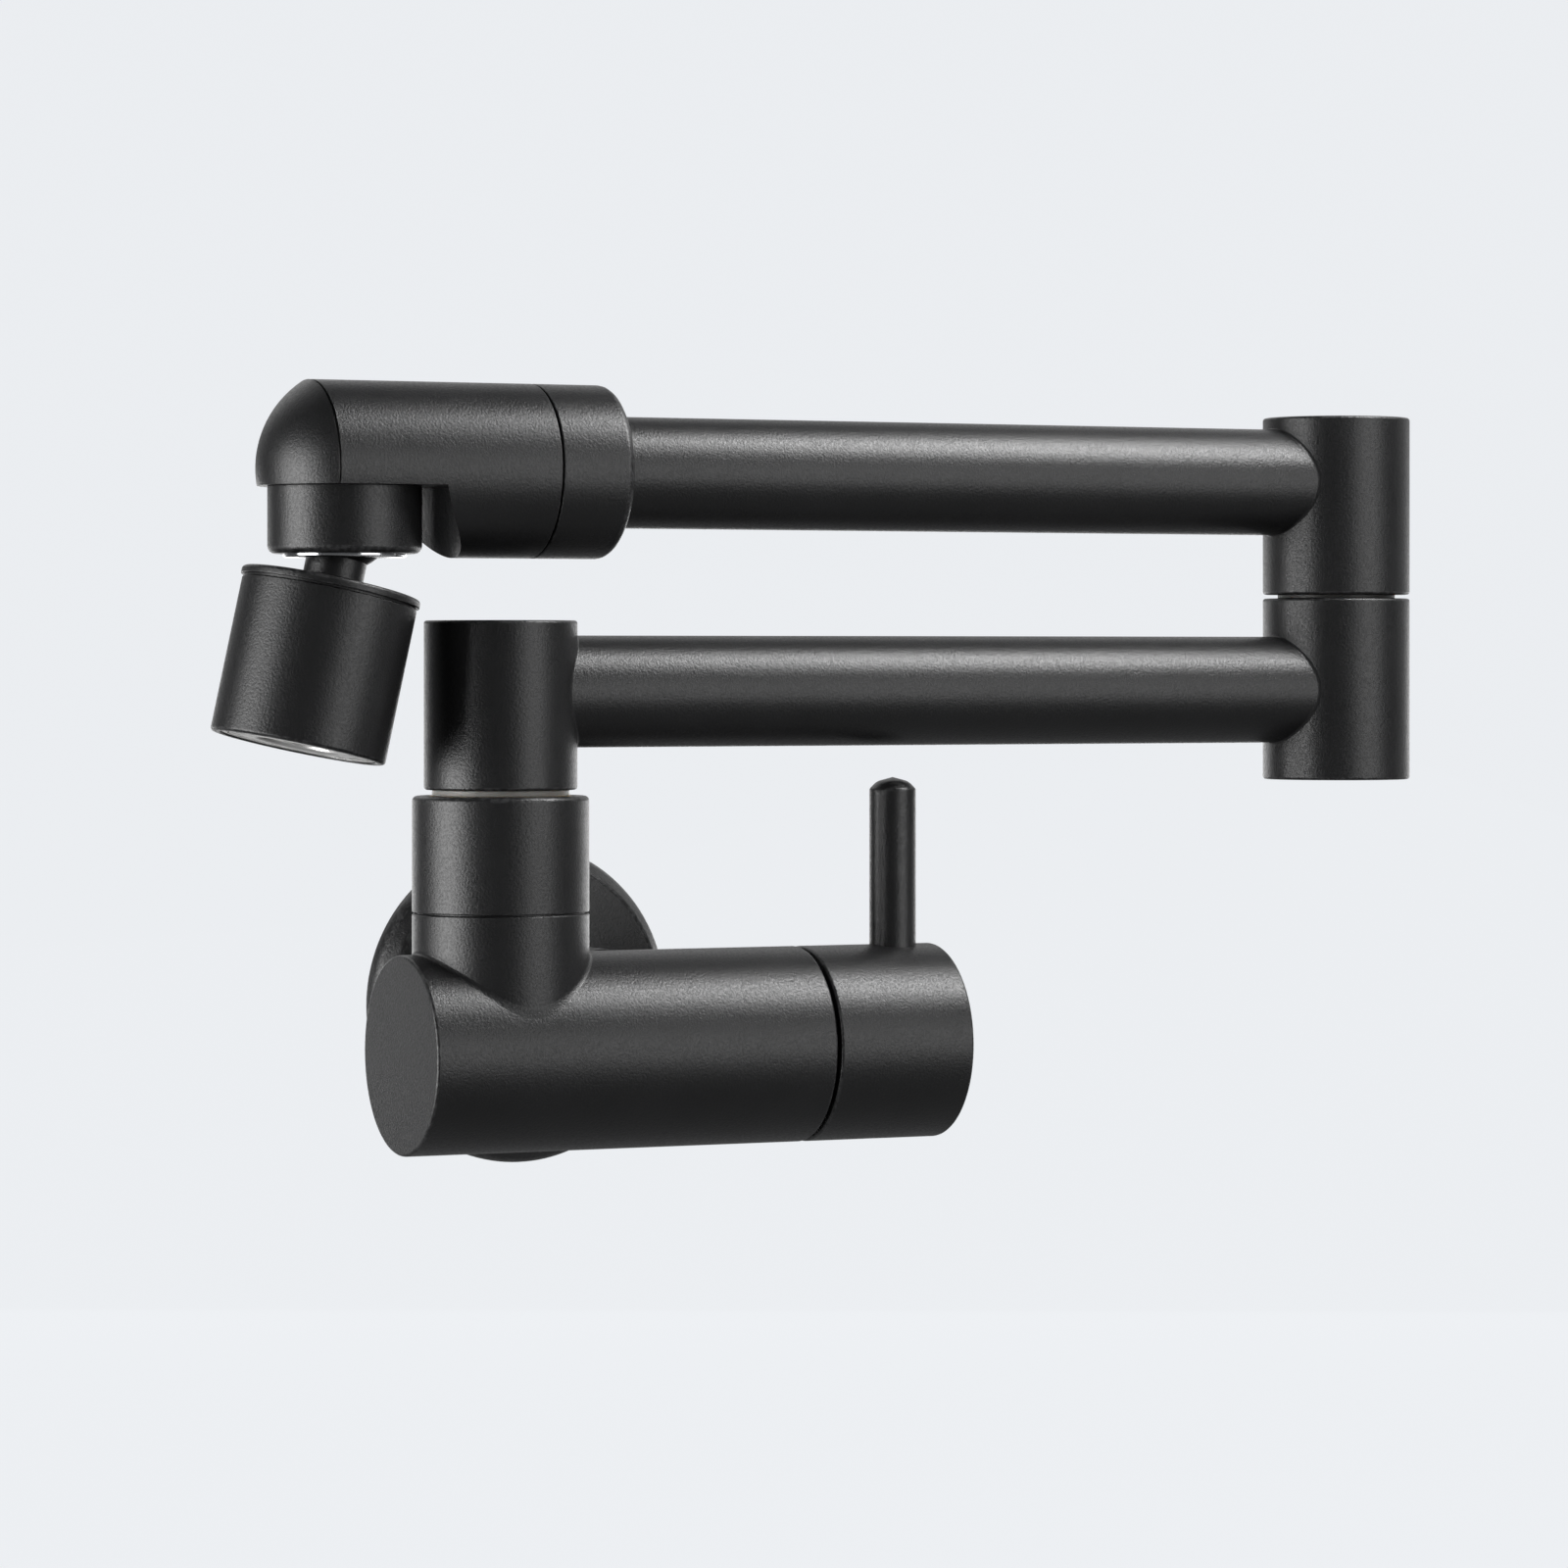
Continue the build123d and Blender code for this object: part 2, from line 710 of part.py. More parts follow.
def arm_joint(plane, bottom, height, tube_height, radius, reach_sign, bore_start, bore_end, screw_base):
    """One end casting of an arm: an upright cylinder with a bore and a side nipple for the tube."""
    centre = plane.origin + plane.y_dir * tube_height
    outward = Plane(centre, (0, 1, 0), (reach_sign, 0, 0))
    with BuildPart() as joint:
        with BuildSketch(square_to(plane, bottom)):
            Circle(radius)
        extrude(amount=height)
        chamfer(joint.edges().filter_by(GeomType.CIRCLE), joint_edge_chamfer)
        with BuildSketch(outward):
            Circle(nipple_radius)
        extrude(amount=radius + nipple_length)
        with BuildSketch(square_to(plane, bore_start)):
            Circle(swivel_bore_radius)
        extrude(amount=bore_end - bore_start, mode=Mode.SUBTRACT)
        with BuildSketch(outward):
            Circle(port_radius)
        extrude(amount=radius + nipple_length, mode=Mode.SUBTRACT)
        if screw_base is not None:
            with BuildSketch(Plane(plane.origin + plane.y_dir * (screw_base + retainer_screw_rise), z_dir=(0, 1, 0))):
                Circle(retainer_screw_radius + fixed_clearance)
            extrude(amount=radius, mode=Mode.SUBTRACT)
    return joint


def coped_tube(plane, start, end, tube_height, posts):
    """An arm tube whose ends are cut to the round of the upright castings that they meet."""
    with BuildPart() as tube:
        add(turned_ring(plane, tube_bore, tube_radius, start, end).part)
        for post_plane, post_radius in posts:
            with BuildSketch(square_to(post_plane, tube_height)):
                Circle(post_radius + fixed_clearance)
            extrude(amount=2 * tube_radius, both=True, mode=Mode.SUBTRACT)
    return tube


lower_arm_hub = arm_joint(
    boss_plane,
    hub_bottom,
    hub_height,
    lower_tube_height,
    hub_radius,
    1,
    hub_bottom,
    hub_bottom + hub_height - hub_top_wall,
    hub_bottom,
)
lower_arm_screw = retainer_screw(boss_plane, hub_bottom, hub_radius)

lower_arm_tube = coped_tube(
    lower_tube_plane,
    0,
    lower_arm_length,
    lower_tube_height,
    [(boss_plane, hub_radius), (knuckle_plane, knuckle_radius)],
)

lower_knuckle_casting = arm_joint(
    knuckle_plane,
    lower_knuckle_bottom,
    lower_knuckle_height,
    lower_tube_height,
    knuckle_radius,
    -1,
    lower_knuckle_bottom + knuckle_floor,
    lower_knuckle_top,
    None,
)
knuckle_flange_bottom = lower_knuckle_top - knuckle_flange_thickness
knuckle_thread_bottom = knuckle_flange_bottom - knuckle_thread_length
with BuildPart() as lower_knuckle:
    add(lower_knuckle_casting.part)
    with BuildSketch(knuckle_plane):
        Polygon(
            (0, knuckle_thread_bottom),
            (spigot_thread_radius + fixed_clearance, knuckle_thread_bottom),
            (spigot_thread_radius + fixed_clearance, knuckle_flange_bottom),
            (knuckle_flange_radius + fixed_clearance, knuckle_flange_bottom),
            (knuckle_flange_radius + fixed_clearance, lower_knuckle_top),
            (0, lower_knuckle_top),
            align=None,
        )
    revolve(axis=turning_axis(knuckle_plane), mode=Mode.SUBTRACT)

# Knuckle: its spigot is screwed into the lower casting, and the upper one turns on it
with BuildPart() as knuckle_spigot:
    with BuildSketch(knuckle_plane):
        Polygon(
            (spigot_bore_radius, knuckle_thread_bottom),
            (spigot_thread_radius, knuckle_thread_bottom),
            (spigot_thread_radius, knuckle_flange_bottom),
            (knuckle_flange_radius, knuckle_flange_bottom),
            (knuckle_flange_radius, lower_knuckle_top),
            (spigot_radius, lower_knuckle_top),
            *spigot_outline(upper_knuckle_bottom),
            align=None,
        )
    revolve(axis=turning_axis(knuckle_plane))

knuckle_o_rings = spigot_rings(knuckle_plane, upper_knuckle_bottom)
knuckle_glide_washer = turned_ring(
    knuckle_plane, swivel_bore_radius, knuckle_flange_radius, lower_knuckle_top, upper_knuckle_bottom
)
upper_knuckle = arm_joint(
    knuckle_plane,
    upper_knuckle_bottom,
    upper_knuckle_height,
    upper_tube_height,
    knuckle_radius,
    -1,
    upper_knuckle_bottom,
    upper_knuckle_bottom + upper_knuckle_height - knuckle_floor,
    upper_knuckle_bottom,
)
upper_arm_screw = retainer_screw(knuckle_plane, upper_knuckle_bottom, knuckle_radius)

# Upper tube and spout head, with places measured from the socket axis
upper_tube_start = head_back + head_collar_floor
upper_arm_tube = coped_tube(
    head_plane,
    upper_tube_start,
    knuckle_x - socket_x,
    upper_tube_height,
    [(knuckle_plane, knuckle_radius)],
)

head_thread_start = head_back - head_thread_length
head_ring_place = head_back - head_thread_length / 2
head_bore = head_thread_radius + fixed_clearance
with BuildPart() as head_collar:
    with BuildSketch(head_plane) as head_collar_section:
        Polygon(
            (tube_bore, head_thread_start),
            (head_thread_radius, head_thread_start),
            *groove(head_thread_radius, head_ring_depth, head_ring_place, head_ring_width),
            (head_thread_radius, head_back),
            (head_radius - seam_chamfer, head_back),
            (head_radius, head_back + seam_chamfer),
            (head_radius, head_back + head_collar_length),
            (tube_radius + fixed_clearance, head_back + head_collar_length),
            (tube_radius + fixed_clearance, upper_tube_start),
            (tube_bore, upper_tube_start),
            align=None,
        )
        fillet(head_collar_section.vertices().group_by(Axis.Y)[-1].sort_by(Axis.X)[-1], head_collar_round)
    revolve(axis=turning_axis(head_plane))

head_o_ring = sealing_rings(head_plane, head_thread_radius - head_ring_depth, head_bore, [head_ring_place])

dome_radius = (head_radius**2 + dome_height**2) / (2 * dome_height)
dome_centre = -head_front - dome_height + dome_radius
socket_thread_bore = socket_thread_radius + fixed_clearance
socket_bore_top = flat_height + socket_thread_length + socket_gasket_thickness
waterway_height = upper_tube_height + head_waterway_rise
head_bore_end = head_thread_start - head_bore_room
with BuildPart() as spout_head:
    with BuildSketch(head_plane):
        with BuildLine():
            Polyline(
                (head_radius, -head_front),
                (head_radius, head_back - seam_chamfer),
                (head_radius - seam_chamfer, head_back),
                (0, head_back),
                (0, dome_centre - dome_radius),
            )
            CenterArc((0, dome_centre), dome_radius, -90, degrees(asin(head_radius / dome_radius)))
        make_face()
    revolve(axis=turning_axis(head_plane))
    # Flat under the front, milled by a round cutter about the socket axis
    with BuildSketch(square_to(socket_plane, flat_height)):
        Circle(spot_face_radius)
    extrude(amount=-2 * head_radius, mode=Mode.SUBTRACT)
    # Threaded bores for the collar and the socket, joined by the waterway
    with BuildSketch(square_to(head_plane, head_back)):
        Circle(head_bore)
    extrude(amount=head_bore_end - head_back, mode=Mode.SUBTRACT)
    with BuildSketch(square_to(head_plane, head_bore_end)):
        with Locations((head_waterway_rise, 0)):
            Circle(head_waterway_radius)
    extrude(amount=-head_bore_end, mode=Mode.SUBTRACT)
    with BuildSketch(square_to(socket_plane, flat_height)):
        Circle(socket_thread_bore)
    extrude(amount=socket_bore_top - flat_height, mode=Mode.SUBTRACT)
    with BuildSketch(square_to(socket_plane, socket_bore_top)):
        Circle(socket_bore_radius)
    extrude(amount=waterway_height - socket_bore_top, mode=Mode.SUBTRACT)

# Ball joint: the socket is screwed up into the head and holds the ball between a seat and a ring
socket_bottom = flat_height - socket_height
seat_top = flat_height - socket_roof
with BuildPart() as aerator_socket:
    with BuildSketch(socket_plane) as socket_section:
        Polygon(
            (socket_bore_radius, flat_height + socket_thread_length),
            (socket_thread_radius, flat_height + socket_thread_length),
            (socket_thread_radius, flat_height),
            (socket_radius, flat_height),
            (socket_radius, socket_bottom),
            (socket_cavity_radius, socket_bottom),
            (socket_cavity_radius, seat_top),
            (socket_bore_radius, seat_top),
            align=None,
        )
        fillet(socket_section.vertices().group_by(Axis.X)[-1].sort_by(Axis.Y)[0], socket_edge_round)
    revolve(axis=turning_axis(socket_plane))

socket_gasket = turned_ring(
    socket_plane,
    socket_bore_radius,
    socket_thread_radius,
    flat_height + socket_thread_length,
    socket_bore_top,
)

bowl_radius = ball_radius + running_clearance


def bowl_depth(radius):
    """Distance from the ball's centre to the level where the bowl has this radius."""
    return sqrt(bowl_radius**2 - radius**2)


def bowl_angle(rise):
    """Angle above the ball's equator, in degrees, of the bowl at this rise from the centre."""
    return degrees(asin(rise / bowl_radius))


with BuildPart() as ball_seat:
    with BuildSketch(socket_plane):
        with BuildLine():
            low = bowl_angle(seat_start)
            high = bowl_angle(bowl_depth(socket_bore_radius))
            CenterArc((0, ball_height), bowl_radius, low, high - low)
            Polyline(
                (socket_bore_radius, ball_height + bowl_depth(socket_bore_radius)),
                (socket_bore_radius, seat_top),
                (socket_cavity_radius - running_clearance, seat_top),
                (socket_cavity_radius - running_clearance, ball_height + seat_start),
                (bowl_depth(seat_start), ball_height + seat_start),
            )
        make_face()
    revolve(axis=turning_axis(socket_plane))

retainer_bottom = socket_bottom - retainer_proud
retainer_radius = socket_cavity_radius - fixed_clearance
with BuildPart() as ball_retainer:
    with BuildSketch(socket_plane):
        with BuildLine():
            low = bowl_angle(-bowl_depth(retainer_lip_radius))
            high = bowl_angle(-retainer_start)
            CenterArc((0, ball_height), bowl_radius, low, high - low)
            Polyline(
                (bowl_depth(retainer_start), ball_height - retainer_start),
                (retainer_radius, ball_height - retainer_start),
                (retainer_radius, retainer_bottom + retainer_chamfer),
                (retainer_radius - retainer_chamfer, retainer_bottom),
                (retainer_lip_radius + retainer_flare, retainer_bottom),
                (retainer_lip_radius, ball_height - bowl_depth(retainer_lip_radius)),
            )
        make_face()
    revolve(axis=turning_axis(socket_plane))

# Ball with its neck and threaded foot, turned about the leaning spray axis
neck_depth = sqrt(ball_radius**2 - ball_neck_radius**2)
crown_angle = degrees(asin(ball_crown / ball_radius))
neck_angle = -degrees(asin(neck_depth / ball_radius))
foot_top = spray_start - ball_foot_thickness
stem_thread_end = spray_start + stem_thread_length
with BuildPart() as ball_stem:
    with BuildSketch(spray_plane):
        with BuildLine():
            CenterArc((0, 0), ball_radius, neck_angle, crown_angle - neck_angle)
            Polyline(
                (ball_neck_radius, -neck_depth),
                (ball_neck_radius, -foot_top),
                (ball_foot_radius, -foot_top),
                (ball_foot_radius, -spray_start),
                (stem_thread_radius, -spray_start),
                (stem_thread_radius, -stem_thread_end),
                (ball_bore_radius, -stem_thread_end),
                (ball_bore_radius, ball_crown),
                (sqrt(ball_radius**2 - ball_crown**2), ball_crown),
            )
        make_face()
    revolve(axis=turning_axis(spray_plane))

# Spray head, with depths measured from the ball's centre down its own axis
cap_end = spray_start + cap_thickness
shoulder = cap_end + cap_groove
skirt_end = shoulder + cap_skirt_length
shell_start = shoulder + spray_gap
shell_end = shell_start + spray_length
shell_bore = spray_radius - spray_wall
skirt_radius = shell_bore - running_clearance
cap_radius = spray_radius + spray_lip
cap_bore = stem_thread_radius + fixed_clearance
spray_ring_place = shoulder + spray_ring_offset
snap_place = shoulder + snap_ring_offset
with BuildPart() as spray_cap:
    with BuildSketch(spray_plane):
        Polygon(
            (cap_bore, -spray_start),
            (cap_radius, -spray_start),
            (cap_radius, -cap_end),
            (cap_radius - cap_groove_depth, -cap_end),
            (cap_radius - cap_groove_depth, -shoulder),
            (skirt_radius, -shoulder),
            *groove(skirt_radius, spray_ring_depth, -spray_ring_place, spray_ring_width, -1),
            *groove(skirt_radius, snap_ring_depth, -snap_place, snap_ring_thickness, -1),
            (skirt_radius, -skirt_end),
            (skirt_radius - cap_skirt_wall, -skirt_end),
            (skirt_radius - cap_skirt_wall, -shoulder - cap_floor),
            (cap_bore + cap_boss_wall, -shoulder - cap_floor),
            (cap_bore + cap_boss_wall, -stem_thread_end),
            (cap_bore, -stem_thread_end),
            align=None,
        )
    revolve(axis=turning_axis(spray_plane))
    top_edges = spray_cap.edges().filter_by(GeomType.CIRCLE).group_by(turning_axis(spray_plane))[-1]
    fillet(top_edges.sort_by(SortBy.RADIUS)[-1], cap_edge_round)

spray_o_ring = sealing_rings(spray_plane, skirt_radius - spray_ring_depth, shell_bore, [-spray_ring_place])
snap_inner = skirt_radius - snap_ring_depth + fixed_clearance
snap_outer = skirt_radius + snap_ring_depth
with BuildPart() as spray_snap_ring:
    with BuildSketch(spray_plane):
        Polygon(
            (snap_inner, -snap_place - snap_ring_thickness / 2),
            (snap_outer, -snap_place - snap_ring_thickness / 2),
            (snap_outer, -snap_place + snap_ring_thickness / 2),
            (snap_inner, -snap_place + snap_ring_thickness / 2),
            align=None,
        )
    revolve(axis=turning_axis(spray_plane), revolution_arc=360 - snap_ring_opening)

plate_end = shell_end - plate_recess
plate_start = plate_end - plate_thickness
ledge_start = plate_start - ledge_thickness
ledge_radius = shell_bore - ledge_width
snap_groove_width = snap_ring_thickness + 2 * snap_ring_play
with BuildPart() as spray_shell:
    with BuildSketch(spray_plane):
        Polygon(
            (shell_bore, -shell_start),
            (spray_radius, -shell_start),
            (spray_radius, -shell_end + spray_edge_chamfer),
            (spray_radius - spray_edge_chamfer, -shell_end),
            (shell_bore, -shell_end),
            (shell_bore, -plate_start),
            (ledge_radius, -plate_start),
            (ledge_radius, -ledge_start),
            (shell_bore, -ledge_start),
            *groove(shell_bore, -snap_ring_depth - snap_ring_play, -snap_place, snap_groove_width),
            align=None,
        )
    revolve(axis=turning_axis(spray_plane))

# Spray plate with a ring of jets round the aerator insert
plate_radius = shell_bore - fixed_clearance
with BuildPart() as spray_plate:
    with BuildSketch(spray_plane):
        Polygon(
            (plate_bore_radius, -plate_start),
            (plate_radius, -plate_start),
            (plate_radius, -plate_end),
            (plate_bore_radius - plate_lip, -plate_end),
            (plate_bore_radius - plate_lip, -plate_end + plate_lip_thickness),
            (plate_bore_radius, -plate_end + plate_lip_thickness),
            align=None,
        )
    revolve(axis=turning_axis(spray_plane))
    with BuildSketch(square_to(spray_plane, -plate_end)):
        with PolarLocations(plate_hole_circle, plate_hole_count):
            Circle(plate_hole_radius)
    extrude(amount=plate_thickness, mode=Mode.SUBTRACT)

insert_radius = plate_bore_radius - fixed_clearance
insert_end = plate_end - plate_lip_thickness
with BuildPart() as aerator_insert:
    with BuildSketch(square_to(spray_plane, -insert_end)):
        Circle(insert_radius)
        with HexLocations(insert_cell_pitch / 2, 2 * insert_rings + 1, 2 * insert_rings + 1, major_radius=False):
            RegularPolygon((insert_cell_pitch - insert_cell_wall) / 2, 6, major_radius=False, mode=Mode.SUBTRACT)
    extrude(amount=insert_end - plate_start)

pieces = {
    "wall_flange": wall_flange,
    "wall_gasket": wall_gasket,
    "flange_o_ring": flange_o_ring,
    "inlet_nipple": inlet_nipple,
    "inlet_washer": inlet_washer,
    "valve_body": valve_body,
    "cartridge_housing": cartridge_housing,
    "seat_gasket": seat_gasket,
    "cartridge_o_ring": cartridge_o_ring,
    "fixed_disc": fixed_disc,
    "rotating_disc": rotating_disc,
    "cartridge_stem": cartridge_stem,
    "stem_o_rings": stem_o_rings,
    "stem_clip": stem_clip,
    "handle_hub": handle_hub,
    "lever_rod": lever_rod,
    "handle_set_screw": handle_set_screw,
    "riser_spigot": riser_spigot,
    "riser_collar": riser_collar,
    "riser_o_rings": riser_o_rings,
    "riser_glide_washer": riser_glide_washer,
    "lower_arm_hub": lower_arm_hub,
    "lower_arm_screw": lower_arm_screw,
    "lower_arm_tube": lower_arm_tube,
    "lower_knuckle": lower_knuckle,
    "knuckle_spigot": knuckle_spigot,
    "knuckle_o_rings": knuckle_o_rings,
    "knuckle_glide_washer": knuckle_glide_washer,
    "upper_knuckle": upper_knuckle,
    "upper_arm_screw": upper_arm_screw,
    "upper_arm_tube": upper_arm_tube,
    "head_collar": head_collar,
    "head_o_ring": head_o_ring,
    "spout_head": spout_head,
    "aerator_socket": aerator_socket,
    "socket_gasket": socket_gasket,
    "ball_seat": ball_seat,
    "ball_retainer": ball_retainer,
    "ball_stem": ball_stem,
    "spray_cap": spray_cap,
    "spray_o_ring": spray_o_ring,
    "spray_snap_ring": spray_snap_ring,
    "spray_shell": spray_shell,
    "spray_plate": spray_plate,
    "aerator_insert": aerator_insert,
}

os.makedirs("parts", exist_ok=True)
for label, piece in pieces.items():
    piece.part.label = label
    export_step(piece.part, f"parts/{label}.step")
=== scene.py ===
"""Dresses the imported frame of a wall-mounted folding kitchen tap.

Everything is in metres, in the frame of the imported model: the origin is the middle of the flange
on the wall, +X runs right along the wall, +Y into the wall and +Z up.
"""

import json
import logging
import math
from dataclasses import dataclass, field, replace
from enum import Enum
from itertools import pairwise
from typing import Callable, Sequence

import bmesh
import bpy
from bmesh.types import BMEdge, BMesh, BMVert
from bpy.types import Material, Node, NodeSocket, Object
from mathutils import Euler, Matrix, Vector


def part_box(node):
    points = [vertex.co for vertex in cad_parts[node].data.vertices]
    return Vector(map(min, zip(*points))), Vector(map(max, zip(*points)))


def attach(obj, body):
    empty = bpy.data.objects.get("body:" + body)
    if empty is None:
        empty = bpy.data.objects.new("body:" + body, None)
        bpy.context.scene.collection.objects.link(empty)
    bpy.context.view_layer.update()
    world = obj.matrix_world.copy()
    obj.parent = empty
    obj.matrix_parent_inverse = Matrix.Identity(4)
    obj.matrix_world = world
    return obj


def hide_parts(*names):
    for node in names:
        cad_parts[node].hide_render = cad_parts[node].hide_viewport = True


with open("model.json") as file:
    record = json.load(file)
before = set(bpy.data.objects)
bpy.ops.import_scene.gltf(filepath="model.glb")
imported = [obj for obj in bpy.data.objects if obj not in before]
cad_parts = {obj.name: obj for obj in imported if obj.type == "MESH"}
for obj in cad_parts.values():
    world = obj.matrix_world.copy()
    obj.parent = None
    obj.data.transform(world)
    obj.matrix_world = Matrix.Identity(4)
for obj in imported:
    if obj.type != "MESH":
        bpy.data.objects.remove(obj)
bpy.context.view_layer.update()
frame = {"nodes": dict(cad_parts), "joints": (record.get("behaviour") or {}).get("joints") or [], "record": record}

LOG = logging.getLogger("tap")
# Face attribute of the rounded edges, where the coat gets edge wear and a painted highlight.
WEAR_AND_SHEEN = "edge_wear_and_sheen"
MM = 0.001

SPIN_STEPS = 144
SLIM_STEPS = 96
JET_STEPS = 24
PIN_SIDES = 48
HEXAGON = 6
EASE_STEPS = 4
SHARP_ANGLE = math.radians(32.0)
CUT_MARGIN = 2.0 * MM
SPIN_WELD = 1e-7
BOOLEAN_WELD = 1e-6
FINE_EASE = 0.15 * MM
EDGE_EASE = 0.2 * MM
SOFT_EASE = 0.3 * MM

RIGHT = Vector((1.0, 0.0, 0.0))
BACK = Vector((0.0, 1.0, 0.0))
UP = Vector((0.0, 0.0, 1.0))
STEEP = 0.9

Colour = tuple[float, float, float]
Span = tuple[float, float]
Line = Callable[[Vector], float]
Foot = Callable[[float], Line]
Input = float | Colour | Vector | Euler | NodeSocket

WHOLE: Span = (0.0, 1.0)
NOISE_RANGE: Span = (0.3, 0.7)
NOISE_ROUGHNESS = 0.55
# Thresholds of the broken mask of edge wear and painted edge highlight.
WEAR_AND_SHEEN_START = 0.62
WEAR_AND_SHEEN_FULL = 0.72
WEAR_AND_SHEEN_REACH = 0.3
WAVE_RATE = 20.0
RING_WANDER = 0.6
RING_WANDER_RATE = 3.0


class Body(Enum):
    """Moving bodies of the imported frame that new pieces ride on."""

    BASE = "base"
    HANDLE = "handle"
    LOWER_ARM = "lower_arm"
    UPPER_ARM = "upper_arm"
    BALL = "ball"
    SPRAY = "spray"


class Slot(Enum):
    """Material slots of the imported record."""

    BLACK = "matte_black"
    BRASS = "brass"
    CERAMIC = "ceramic"
    RUBBER = "rubber"
    ACETAL = "acetal"
    STEEL = "steel"
    BRIGHT = "bright_metal"
    WHITE = "white_plastic"


class Section(Enum):
    """How the profile of a turned piece closes."""

    SOLID = "starts and ends on the axis"
    RING = "joins its own ends round a bore"
    SHEET = "stays open"


class Operation(Enum):
    """How one closed mesh changes another."""

    CUT = "DIFFERENCE"
    JOIN = "UNION"


class End(Enum):
    """Ends of an arm tube, each with the direction in X that leads inwards."""

    LEFT = 1.0
    RIGHT = -1.0


# Turning and cutting


@dataclass(frozen=True)
class Spindle:
    """An axis that pieces are turned about.

    Attributes:
        origin: The point that lengths along the axis are counted from.
        direction: The unit direction in which they grow.
    """

    origin: Vector
    direction: Vector

    def matrix(self) -> Matrix:
        """Gives the move that lays local Z on the axis.

        Returns:
            The move, with local Y upright, or along +Y where the axis itself is upright.
        """
        upright_way = BACK if abs(self.direction.z) > STEEP else UP
        side = upright_way.cross(self.direction).normalized()
        top = self.direction.cross(side)
        turn = Matrix((side, top, self.direction)).transposed().to_4x4()
        return Matrix.Translation(self.origin) @ turn


def upright(point: Vector) -> Spindle:
    """Stands an axis through a point, with heights counted from the frame's level."""
    return Spindle(Vector((point.x, point.y, 0.0)), UP)


@dataclass(frozen=True)
class Corner:
    """One corner of a turned profile.

    Attributes:
        radius: Distance from the axis.
        along: Place along the axis.
        ease: Length of profile that is rounded away on each side of the corner.
    """

    radius: float
    along: float
    ease: float = 0.0


@dataclass(frozen=True)
class Ring:
    """One round station of a drawn tube.

    Attributes:
        radius: Radius of the station.
        along: Gives the place along the axis for a point across it, so that an end can be coped.
    """

    radius: float
    along: Line

    def shape(self, verts: Sequence[BMVert]) -> None:
        """Moves a loop of vertices onto the station.

        Args:
            verts: The vertices.
        """
        for vert in verts:
            across = Vector((vert.co.x, vert.co.y)).normalized() * self.radius
            vert.co = (across.x, across.y, self.along(across))


def square(place: float) -> Line:
    """Gives the line of an end that is square to its axis."""
    return lambda across: place


def arc(centre: float, radius: float, start: float, end: float, steps: int) -> list[Corner]:
    """Lays corners along an arc whose centre is on the turning axis.

    Args:
        centre: Place of the arc's centre along the axis.
        radius: Radius of the arc.
        start: First angle above the plane square to the axis, in radians.
        end: Last angle, in radians.
        steps: Number of runs between the corners.

    Returns:
        The corners, from start to end.
    """
    angles = [start + (end - start) * step / steps for step in range(steps + 1)]
    return [Corner(radius * math.cos(angle), centre + radius * math.sin(angle)) for angle in angles]


@dataclass(frozen=True)
class Land:
    """One straight run along the axis, in a profile with square steps.

    Attributes:
        radius: Distance from the axis.
        end: Place along the axis where the run ends and the step to the next one is.
        start_ease: Ease of the corner where the run starts.
        end_ease: Ease of the corner where it ends.
    """

    radius: float
    end: float
    start_ease: float = 0.0
    end_ease: float = 0.0


def stepped(*lands: Land) -> list[Corner]:
    """Lays the corners of a profile with square steps.

    Args:
        *lands: Its runs in order, of which the last steps back to the radius of the first.

    Returns:
        The corners, from the end of the first run.
    """
    corners = []
    for land, following in pairwise([*lands, lands[0]]):
        corners.append(Corner(land.radius, land.end, land.end_ease))
        corners.append(Corner(following.radius, land.end, following.start_ease))
    return corners


def fillet_rings(radius: float, fillet: float, steps: int, sink: float, foot: Foot) -> list[Ring]:
    """Lays the stations of a round fillet at a coped foot.

    Args:
        radius: Radius of the plain part.
        fillet: Radius of the fillet.
        steps: Number of runs between the stations.
        sink: How far the foot is let into what it stands on.
        foot: Gives the coped line at a distance from the foot.

    Returns:
        The stations, from the foot to the plain part.
    """
    rings = []
    for step in range(steps + 1):
        angle = math.pi / 2.0 * step / steps
        out = fillet * (1.0 - math.sin(angle))
        rise = fillet * (1.0 - math.cos(angle)) - sink
        rings.append(Ring(radius + out, foot(rise)))
    return rings


def turned(
    spindle: Spindle, corners: Sequence[Corner], section: Section = Section.SOLID, steps: int = SPIN_STEPS
) -> BMesh:
    """Spins a profile about an axis and marks the rounded edges for edge wear and a painted edge highlight.

    Args:
        spindle: The axis.
        corners: The profile's corners in order.
        section: How the profile closes.
        steps: Number of faces round the axis.

    Returns:
        The mesh, in its place.
    """
    work = bmesh.new()
    wear = work.faces.layers.float.new(WEAR_AND_SHEEN)
    mark = work.verts.layers.int.new("corner")
    points = [work.verts.new((corner.radius, 0.0, corner.along)) for corner in corners]
    for pair in pairwise(points):
        work.edges.new(pair)
    if section is Section.RING:
        work.edges.new((points[-1], points[0]))
    for number, (point, corner) in enumerate(zip(points, corners), start=1):
        if corner.ease > 0.0:
            eased = bmesh.ops.bevel(
                work,
                geom=[point],
                offset=corner.ease,
                offset_type="OFFSET",
                segments=EASE_STEPS,
                profile=0.5,
                affect="VERTICES",
                material=-1,
            )
            for vert in eased["verts"]:
                vert[mark] = number
    bmesh.ops.spin(
        work,
        geom=work.verts[:] + work.edges[:],
        cent=(0.0, 0.0, 0.0),
        axis=UP,
        angle=math.tau,
        steps=steps,
        use_merge=True,
        use_duplicate=False,
    )
    bmesh.ops.remove_doubles(work, verts=work.verts[:], dist=SPIN_WELD)
    bmesh.ops.recalc_face_normals(work, faces=work.faces[:])
    for face in work.faces:
        marks = {vert[mark] for vert in face.verts}
        face[wear] = float(len(marks) == 1 and 0 not in marks)
    bmesh.ops.transform(work, matrix=spindle.matrix(), verts=work.verts[:])
    return work


